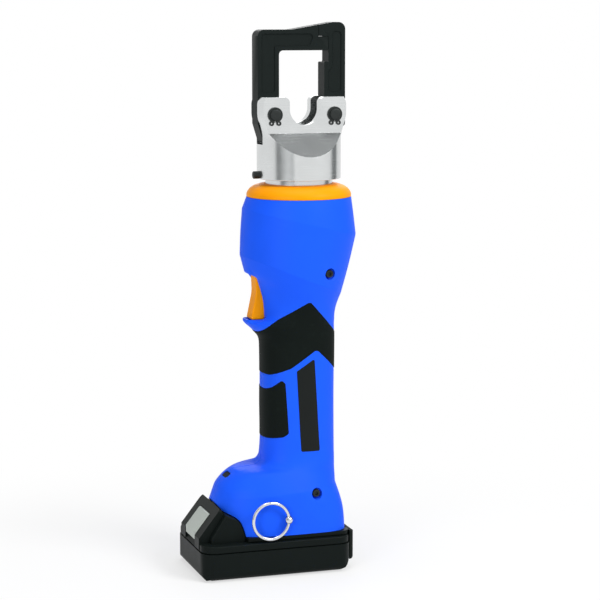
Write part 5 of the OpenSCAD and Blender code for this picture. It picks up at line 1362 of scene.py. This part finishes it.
@dataclass
class Battery:
    """The pack: lower case, upper case with its nose, and the release button."""

    NOSE = ((-48.4, 28.9), (-50.36, 35.68), (-52.32, 39.79), (-55.01, 42.5), (-58.49, 44.31), (-63, 46.29),
            (-66.04, 50.99), (-71.92, 58.02))
    front: float = -82.5
    rear: float = 28.5
    half: float = 37.5
    split: float = 20.0
    top: float = 25.5
    screw_in: float = 4.8
    slant_low: tuple = (-82.5, 29.2)
    slant_high: tuple = (-66.54, 49.59)
    nose_half: float = 24.5
    cheek_half: float = 29.0
    button_half: float = 12.5
    toe_r: float = 6.0
    heel_r: float = 12.0
    edge_r: float = 6.0
    front_r: float = 10.0
    rear_r: float = 9.0
    seam: float = 0.15

    def form(self, name: str, shrink: float, low: float, high: float) -> Blank:
        """The case's outer form between two heights, set in by shrink."""
        f, r, h = self.front + shrink, self.rear - shrink, self.half - shrink
        side = Stock.rounded([(f, 60, 0), (f, shrink, self.toe_r), (r, shrink, self.heel_r), (r, 60, 0)], 5)
        end = Stock.rounded([(-h, 60, 0), (-h, shrink, self.edge_r), (h, shrink, self.edge_r), (h, 60, 0)], 6)
        toe, heel = self.front_r, self.rear_r
        plan = Stock.rounded([(f, -h, toe), (r, -h, heel), (r, h, heel), (f, h, toe)], 6)
        blank = Stock.prism(name, plan, low, high, Axis.Z)
        blank.keep(Stock.prism("side", side, -90, 90, Axis.Y), Stock.prism("end", end, -120, 120, Axis.X))
        return blank

    def corners(self) -> list[tuple[float, float]]:
        """Where the case screws stand."""
        return [(x, y) for x in (self.front + self.screw_in, self.rear - self.screw_in)
                for y in (self.screw_in - self.half, self.half - self.screw_in)]

    def build(self) -> None:
        """Makes the pack's pieces."""
        lower = self.form("battery_lower_shell", 0, -5, self.split - self.seam)
        for x, y in self.corners():
            lower.cut(Stock.rod("screw_room", (x, y, -4), (x, y, 7.8), 2.4, segments=48))
        lower.ease(0.7, 3, 40).fit(Finishes.BLACK, "battery", ["battery_lower_case"], 35)
        self.upper()
        self.button()
        spots = [((x, y, 7.6), (0, 0, -1)) for x, y in self.corners()]
        ScrewTree(2.2, 1.8, 1.2).place("battery_case_screw_heads", spots).fit(
            Finishes.OXIDE, "battery", ["battery_screws"], 40)

    def wedge(self, name: str, setback: float, top: Point2, count: int, half: float) -> Blank:
        """A wedge of the nose that fills the opening in the foot."""
        back = [(x - 0.5, z - 0.5) for x, z in self.NOSE[:count]]
        outline = [(self.front + setback, 21), (self.front + setback, self.slant_low[1]), tuple(top), *back[::-1],
                   (-48.9, 21)]
        return Stock.prism(name, outline, -half, half, Axis.Y)

    def button_room(self) -> Blank:
        """The room that the release button slides in, open to the front."""
        room = [(-74.13, 46.38), (-68.69, 42.13), (-79.4, 28.46), (-79.4, 24.9), (-84, 19.02), (-93.63, 21.47)]
        return Stock.prism("button_room", room, -self.button_half - 0.3, self.button_half + 0.3, Axis.Y)

    def upper(self) -> None:
        """The upper case with its nose, cheeks and rail deck."""
        blank = self.form("battery_upper_shell", 0.4, self.split + self.seam, self.top).ease(0.9, 3, 40)
        n, z = self.nose_half, self.slant_high[1]
        nose = self.wedge("nose", 0, self.slant_high, 6, n)
        nose.keep(Stock.prism("edges", Stock.rounded([(-n, 10, 0), (n, 10, 0), (n, z, 3), (-n, z, 3)]), -90, 0, Axis.X))
        x, z = self.NOSE[5]
        blank.add(nose.ease(0.7, 3, 30), self.wedge("cheek", 8, (x - 0.5, z - 0.5), 5, self.cheek_half).ease(1, 3, 30))
        for side in (-1, 1):
            rail = [(side * y, z) for y, z in ((-1, 24), (20.5, 24), (20.5, 28), (24, 28), (24, 31), (-1, 31))]
            blank.add(Stock.prism("rail", rail, -50.4, 16.5, Axis.X))
        blank.cut(self.button_room())
        blank.weld().fit(Finishes.BLACK, "battery", ["battery_upper_case"], 35)

    def button(self) -> None:
        """The grey release button: flat on the slope, with a skirt down the front."""
        outline = Stock.rounded([
            (-71.71, 44.11, 1.2), (-69.12, 42.08, 0.6), (-79.7, 28.56, 1.2), (-79.7, 25.2, 0.6), (-82.3, 25.2, 0.8),
            (-82.3, 30.59, 1.2)])
        blank = Stock.prism("release_button_cap", outline, -self.button_half, self.button_half, Axis.Y).ease(0.7, 3, 50)
        blank.fit(Finishes.GREY, "release_button", ["release_button"], 40)


@dataclass
class Foot:
    """Shoe with the rails under the housing, and the guard behind the pack."""

    half: float = 33.5
    rear: float = 28.9
    rail_half: float = 24.3
    lip_half: float = 20.8
    guard_rear: float = 33.5
    guard_half: float = 31.0
    corner: float = 8.0

    def build(self) -> None:
        """Makes the shoe and the guard."""
        self.shoe()
        self.guard()

    def shoe(self) -> None:
        """The shoe: a bridge with a lip under each rail of the pack."""
        w, r, lip = self.half, self.rail_half, self.lip_half
        section = [(lip, 25.8), (w, 25.8), (w, 28.8), (r, 28.8), (r, 27.7), (lip, 27.7)]
        sides = [Stock.prism("shoe", [(s * y, z) for y, z in section], -48.4, self.rear, Axis.X) for s in (-1, 1)]
        bridge = Stock.prism("battery_shoe_rails", [
            (-26, 27.8), (-r, 27.8), (-r, 31.3), (r, 31.3), (r, 27.8), (26, 27.8), (26, 34.1), (-26, 34.1)],
            -44, 15, Axis.X)
        bridge.add(*sides)
        plan = Stock.rounded([(-90, -w, 0), (self.rear, -w, self.corner), (self.rear, w, self.corner), (-90, w, 0)])
        bridge.keep(Stock.prism("plan", plan, 0, 60, Axis.Z))
        bridge.cut(Stock.box("window", (-46, -18, 30), (11, 18, 40)))
        bridge.ease(0.5, 2, 40).fit(Finishes.BLACK, "housing", ["battery_shoe"], 35)

    def guard(self) -> None:
        """The rubber guard behind the pack."""
        x, h = self.guard_rear, self.guard_half
        plan = Stock.rounded([(0, -h, 0), (x, -h, self.corner), (x, h, self.corner), (0, h, 0)], 5)
        side = Stock.rounded([(self.rear, 6.5, 0), (x, 6.5, 3), (x, 27.9, 3), (self.rear, 27.9, 0)], 5)
        guard = Stock.prism("heel_guard_rubber", plan, 0, 40, Axis.Z).keep(Stock.prism("side", side, -60, 60, Axis.Y))
        guard.ease(0.6, 2, 50).fit(Finishes.RUBBER, "housing", ["heel_guard"], 40)


@dataclass
class Lanyard:
    """Wire ring and the stud with the round bead that it hangs in."""

    stud_x: float = -19.45
    y: float = -37.4
    z: float = 41.2
    bead_r: float = 3.05
    ring_r: float = 13.1
    wire_r: float = 1.2

    def build(self) -> None:
        """Makes the stud and the ring."""
        x, y, z = self.stud_x, self.y, self.z
        profile = [(0, -self.bead_r), *Stock.arc((0, 0), self.bead_r, -86, 48, 28), (2, 2.4), (2, 10.2), (0, 10.2)]
        stud = Stock.lathe("lanyard_stud_bead", profile, (x, y, z), (0, 1, 0), 64)
        stud.cut(Stock.rod("eye", (x, y, z - 6), (x, y, z + 6), 1.75, segments=48))
        stud.add(Stock.rod("nut", (x, -31.3, z), (x, -29.3, z), 4, 0.3, 6))
        stud.fit(Finishes.WIRE, "housing", ["lanyard_stud"], 35)
        ring = RingTree(self.ring_r, self.wire_r).run(Blank("lanyard_wire_ring", [(0, 0, 0)], []), Finishes.WIRE)
        ring.obj.data.transform(Matrix.Translation((x - self.ring_r, y, z)) @ Matrix.Rotation(math.pi / 2, 4, "X"))
        ring.outward().fit(Finishes.WIRE, "lanyard_ring", ["lanyard_ring"], 180)


@dataclass
class Spring:
    """A coil wound into the box of the solid that it stands for."""

    node: str
    body: str
    joint: str
    coil_r: float
    wire_r: float
    turns: float
    along: Axis
    stays_high: bool
    stroke: float

    def build(self) -> None:
        """Winds the coil into its solid's box."""
        low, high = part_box(self.node)
        axis = Vector((1, 0, 0)) if self.along is Axis.X else Vector((0, 0, 1))
        length = (high - low).dot(axis) / MM
        tree = SpringTree(self.coil_r, self.wire_r, length - 2 * self.wire_r, self.turns)
        blank = tree.run(Blank(self.node + "_coil", [(0, 0, 0)], []), Finishes.WIRE)
        middle = (low + high) / 2 / MM - Vector((AXIS_X, 0, 0)) - axis * (length / 2 - self.wire_r)
        turn = Vector((0, 0, 1)).rotation_difference(axis).to_matrix().to_4x4()
        blank.obj.data.transform(Matrix.Translation(middle) @ turn)
        coil = blank.outward().fit(Finishes.WIRE, self.body, [self.node], 60)
        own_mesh(coil)


class Internals:
    """The CAD solids that stay as they are, dressed by their record slot."""

    NODE_SLOTS = {
        "bright_wire": ("button_spring", "plunger_spring", "cell_straps"),
        "black_plastic": ("terminal_block", "trigger_switch", "motor_end_bell"),
        "board_green": ("control_board",), "black_rubber": ("oil_bladder", "neck_seal", "ram_seal"),
        "cast_aluminium": ("pump_block", "gear_flange"), "brass": ("battery_contacts", "return_valve"),
        "copper_core": ("rotor",), "cell_can": ("cells",), "blackened_steel": ("motor_can",)}

    def dress(self) -> None:
        """Gives every node that still shows the finish of its kind."""
        slots = {node: slot for slot, nodes in self.NODE_SLOTS.items() for node in nodes}
        for name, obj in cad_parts.items():
            if obj.hide_render:
                continue
            finish = Finishes.of_slot(slots.get(name, "plain_steel"))
            obj.data.materials.clear()
            obj.data.materials.append(finish.material())
            LOG.info("%s keeps its solid, in %s", name, finish.slot)


# ---------------------------------------------------------------- studio


@dataclass
class Studio:
    """Camera, soft lights, white surround and the pale floor."""

    eye: tuple = (-0.41995, -1.3594, 0.4007)
    forward: tuple = (0.3058, 0.9412, -0.1435)
    lens: float = 120.0
    aim: tuple = (0.01, 0, 0.2)
    floor_half: float = 6.0
    surround: float = 0.25

    def build(self) -> None:
        """Sets the studio up."""
        bpy.context.scene.view_settings.view_transform = "Standard"
        self.camera()
        self.lamp("key_light", (0.85, -1.05, 1.25), 0.7, 19.0)
        self.lamp("fill_light", (-1.0, -0.95, 0.5), 0.6, 7.0)
        self.lamp("top_light", (0.0, -0.1, 1.5), 0.8, 8.0)
        self.lamp("rim_light", (0.5, 1.2, 0.8), 0.8, 4.0)
        self.flag("left_flag", (-0.6, -0.42, 0.34), (0.75, 0.7))
        self.flag("right_flag", (0.7, 0.05, 0.34), (0.3, 0.6))
        self.flag("top_flag", (0.2, -0.12, 0.85), (0.4, 0.4))
        self.floor()
        self.world()

    def camera(self) -> None:
        """The photograph's view."""
        data = bpy.data.cameras.new("view")
        data.lens, data.sensor_width = self.lens, 36.0
        camera = bpy.data.objects.new("view", data)
        camera.location = self.eye
        camera.rotation_euler = Vector(self.forward).to_track_quat("-Z", "Y").to_euler()
        bpy.context.scene.collection.objects.link(camera)
        bpy.context.scene.camera = camera

    def lamp(self, name: str, place: tuple, size: float, power: float) -> None:
        """One square soft light that faces the tool."""
        data = bpy.data.lights.new(name, "AREA")
        data.size, data.energy = size, power
        lamp = bpy.data.objects.new(name, data)
        lamp.location = place
        lamp.rotation_euler = (Vector(self.aim) - Vector(place)).to_track_quat("-Z", "Y").to_euler()
        bpy.context.scene.collection.objects.link(lamp)

    def flag(self, name: str, place: tuple, size: tuple) -> None:
        """A dark board beside the camera, which bright metal reflects."""
        flag, bench = self._board(name, place, (size[0] / 2, size[1] / 2))
        flag.rotation_euler = (Vector(self.aim) - Vector(place)).to_track_quat("Z", "Y").to_euler()
        flag.visible_camera = flag.visible_shadow = flag.visible_diffuse = False
        shade = bench.add("ShaderNodeBsdfDiffuse", None, {"Color": (0.16, 0.17, 0.17, 1)})
        bench.add("ShaderNodeOutputMaterial", None, {"Surface": shade})

    @staticmethod
    def _board(name: str, place: tuple, half: tuple) -> tuple[bpy.types.Object, ShaderBench]:
        """A flat board of the stage with an empty material.

        Args:
            name: Name of the board and its material.
            place: Its middle.
            half: Half its width and height.

        Returns:
            The board, and the bench for its material.
        """
        w, h = half
        mesh = bpy.data.meshes.new(name)
        mesh.from_pydata([(-w, -h, 0), (w, -h, 0), (w, h, 0), (-w, h, 0)], [], [(0, 1, 2, 3)])
        board = bpy.data.objects.new(name, mesh)
        board.location = place
        material = bpy.data.materials.new(name)
        material.use_nodes = True
        mesh.materials.append(material)
        bpy.context.scene.collection.objects.link(board)
        return board, ShaderBench(material.node_tree)

    @staticmethod
    def _seen(bench: ShaderBench, gloss: float = 0.8) -> Flow:
        """How white the surround is for a ray: wholly from the camera or through glass, partly off gloss."""
        def ray(kind: str) -> Flow:
            """One output of the Light Path node."""
            return bench.add("ShaderNodeLightPath", None, None, kind)

        return ray("Is Camera Ray") + ray("Is Transmission Ray") + ray("Is Glossy Ray") * gloss

    def floor(self) -> None:
        """A pale floor that whitens for the camera and keeps the shadow."""
        bench = self._board("floor", (0, 0, -0.0006), (self.floor_half, self.floor_half))[1]
        paper = bench.add("ShaderNodeBsdfDiffuse", None, {"Color": (0.9, 0.9, 0.9, 1)})
        white = bench.add("ShaderNodeEmission", None, {"Color": (1, 1, 1, 1), "Strength": 1.0})
        place = bench.add("ShaderNodeTexCoord", output="Object")
        far = bench.add("ShaderNodeVectorMath", {"operation": "LENGTH"}, {0: place}, "Value").above(0.08, 0.3)
        both = bench.add("ShaderNodeMixShader", None, {0: self._seen(bench) * (far * 0.4 + 0.6), 1: paper, 2: white})
        bench.add("ShaderNodeOutputMaterial", None, {"Surface": both})

    def world(self) -> None:
        """A white surround to look at, and a plain grey one to light by."""
        world = bpy.data.worlds.new("surround")
        bpy.context.scene.world = world
        world.use_nodes = True
        bench = ShaderBench(world.node_tree)
        seen = bench.add("ShaderNodeBackground", None, {"Color": (1, 1, 1, 1), "Strength": 1.0})
        light = bench.add("ShaderNodeBackground", None, {"Color": (0.95, 0.97, 1, 1), "Strength": self.surround})
        both = bench.add("ShaderNodeMixShader", None, {0: self._seen(bench), 1: light, 2: seen})
        bench.add("ShaderNodeOutputWorld", None, {"Surface": both})


def main() -> None:
    """Builds and dresses every piece, then the studio."""
    logging.basicConfig(level=logging.INFO, format="%(message)s")
    for part in (Housing(), Trigger(), Head(), CrimpFrame(), Battery(), Foot(), Lanyard()):
        part.build()
    Spring("return_spring", "ram", "ram_slide", 13.5, 1.2, 8, Axis.Z, False, 20.2).build()
    Spring("trigger_spring", "housing", "trigger_pull", 2.4, 0.3, 6, Axis.X, True, 1.1).build()
    Internals().dress()
    Studio().build()


if __name__ == "__main__":
    main()
